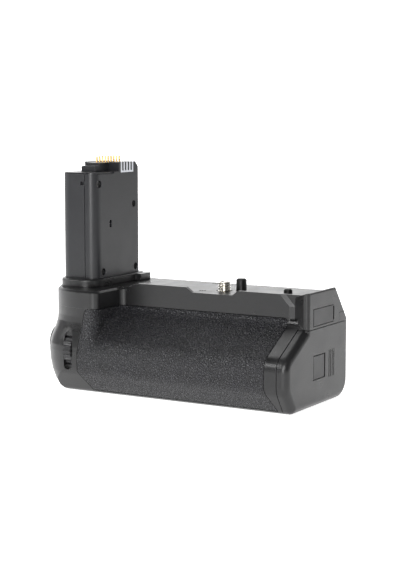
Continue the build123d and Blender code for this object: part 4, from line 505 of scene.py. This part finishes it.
def end_seam():
    """The seam beside the connector's cover, between the two housings."""
    right_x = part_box("usb_door")[1][0] + SEAM_RISE
    tongue_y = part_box("usb_door")[1][1] + SEAM_BEHIND_DOOR
    low_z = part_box("tray_cover")[1][2] + SEAM_ABOVE_COVER

    def make(work):
        for (y0, z0), (y1, z1) in (
            ((tongue_y - SEAM_HALF, low_z), (tongue_y + SEAM_HALF, SEAM_Z)),
            ((tongue_y - SEAM_HALF, SEAM_Z - SEAM_HALF), (tongue_y + SEAM_LENGTH, SEAM_Z + SEAM_HALF)),
        ):
            corners = [(right_x, y0, z0), (right_x, y1, z0), (right_x, y1, z1), (right_x, y0, z1)]
            mark(work, corners, SEAM_RISE, (1, 0, 0))

    piece("end_seam", make, MATT, "grip")


skin_cover()
threaded_screw()
plate_marks()
end_seam()


# Camera and light

# Fitted to the photograph, whose width and focal length are in its pixels
FOCAL_PX = 1509
PHOTO_WIDTH = 400
SENSOR_WIDTH = 36
NEAREST_SEEN = 10 * MM
CAMERA_PLACE = (0.3685, -0.6161, 0.1410)
RIGHT = Vector((0.862, 0.507, 0.0)).normalized()
TOWARDS_CAMERA = Vector((0.5029, -0.8555, 0.1231)).normalized()
UP = TOWARDS_CAMERA.cross(RIGHT).normalized()

camera_data = bpy.data.cameras.new("camera")
camera_data.sensor_fit = "HORIZONTAL"
camera_data.sensor_width = SENSOR_WIDTH
camera_data.lens = SENSOR_WIDTH * FOCAL_PX / PHOTO_WIDTH
camera_data.clip_start = NEAREST_SEEN
camera = bpy.data.objects.new("camera", camera_data)
bpy.context.scene.collection.objects.link(camera)
turned = Matrix((RIGHT, UP, TOWARDS_CAMERA)).transposed().to_4x4()
camera.matrix_world = Matrix.Translation(CAMERA_PLACE) @ turned
bpy.context.scene.camera = camera

WHITE = (1, 1, 1, 1)
WORLD_STRENGTH = 0.2
world = bpy.data.worlds.new("studio")
world.use_nodes = True
world.node_tree.nodes["Background"].inputs["Color"].default_value = WHITE
world.node_tree.nodes["Background"].inputs["Strength"].default_value = WORLD_STRENGTH
bpy.context.scene.world = world
bpy.context.scene.view_settings.view_transform = "Standard"


def area_light(name, place, facing, width, height, watts):
    """A softbox at a place, turned as facing says."""
    data = bpy.data.lights.new(name, "AREA")
    data.shape = "RECTANGLE"
    data.size, data.size_y, data.energy = width, height, watts
    made = bpy.data.objects.new(name, data)
    bpy.context.scene.collection.objects.link(made)
    made.matrix_world = Matrix.Translation(place) @ facing.to_matrix().to_4x4()


LIGHT_DISTANCE = 1.0
LIGHT_TARGET = Vector((0, 0, 0.03))


def strip_light(name, turn, low, high, width, watts):
    """An upright softbox at an angle in degrees from the part's front towards its right end."""
    across, ahead = LIGHT_DISTANCE * sin(radians(turn)), -LIGHT_DISTANCE * cos(radians(turn))
    place = Vector((across, ahead, (low + high) / 2))
    facing = Vector((-place.x, -place.y, 0)).to_track_quat("-Z", "Z")
    area_light(name, place, facing, width, high - low, watts)


def high_light(name, place, target, width, height, watts):
    """A softbox above the part that looks down at a point of it."""
    facing = (Vector(target) - Vector(place)).to_track_quat("-Z", "Y")
    area_light(name, place, facing, width, height, watts)


strip_light("left_strip", turn=-74, low=0.02, high=0.8, width=0.1, watts=3)
strip_light("right_strip", turn=26, low=0.02, high=0.8, width=0.2, watts=7.4)
strip_light("end_softbox", turn=125, low=0.0, high=0.2, width=0.5, watts=0.5)
high_light("top_softbox", (-0.3, 0.3, 0.85), LIGHT_TARGET, width=0.5, height=0.4, watts=1.4)
high_light("belly_softbox", (-0.53, -0.66, 0.53), LIGHT_TARGET, width=0.5, height=0.12, watts=3.2)
high_light("front_softbox", (0.15, -0.95, 0.45), (0.02, 0, 0.03), width=0.35, height=0.25, watts=1.5)


# White stage

STAGE_PATCH_MM = 400
STAGE_DARKER, STAGE_LIGHTER = (0.9, 0.9, 0.9), (0.94, 0.94, 0.94)
STAGE_ROUGH = 0.9
FADED_SHARE = 0.35


def backdrop(name, corners, glow, fade=None):
    """A plain white stage surface that lights the part, less so past the fade towards the camera."""
    mesh = bpy.data.meshes.new(name)
    mesh.from_pydata(corners, [], [(0, 1, 2, 3)])
    made = bpy.data.objects.new(name, mesh)
    bpy.context.scene.collection.objects.link(made)
    look = Shader(
        name + "_white", Roughness=STAGE_ROUGH, Emission_Color=WHITE, Emission_Strength=glow
    )
    tone = look.blend(look.noise(STAGE_PATCH_MM, detail=1), STAGE_DARKER, STAGE_LIGHTER)
    look.put(look.bsdf.inputs["Base Color"], tone)
    if fade:
        ahead = look.node("ShaderNodeVectorMath")
        ahead.operation = "DOT_PRODUCT"
        look.put(ahead.inputs[0], look.place)
        ahead.inputs[1].default_value = TOWARDS_CAMERA
        glow_here = look.span(ahead.outputs["Value"], *fade, glow, FADED_SHARE * glow)
        look.put(look.bsdf.inputs["Emission Strength"], glow_here)
    mesh.materials.append(look.material)


FLOOR_Z = cad_low[2] - 0.1 * MM
FLOOR_HALF = 4
FLOOR_GLOW = 0.9
FLOOR_FADE = (0.28, 1.2)
WALL_BEHIND = 1.6
WALL_HALF = 1.3
WALL_HEIGHT = 1.5
WALL_GLOW = 1.0

backdrop(
    "floor",
    [
        (-FLOOR_HALF, -FLOOR_HALF, FLOOR_Z),
        (FLOOR_HALF, -FLOOR_HALF, FLOOR_Z),
        (FLOOR_HALF, FLOOR_HALF, FLOOR_Z),
        (-FLOOR_HALF, FLOOR_HALF, FLOOR_Z),
    ],
    FLOOR_GLOW,
    FLOOR_FADE,
)
wall_middle = -TOWARDS_CAMERA * WALL_BEHIND
wall_left = wall_middle - RIGHT * WALL_HALF
wall_right = wall_middle + RIGHT * WALL_HALF
backdrop(
    "wall",
    [
        (wall_left.x, wall_left.y, FLOOR_Z),
        (wall_right.x, wall_right.y, FLOOR_Z),
        (wall_right.x, wall_right.y, WALL_HEIGHT),
        (wall_left.x, wall_left.y, WALL_HEIGHT),
    ],
    WALL_GLOW,
)
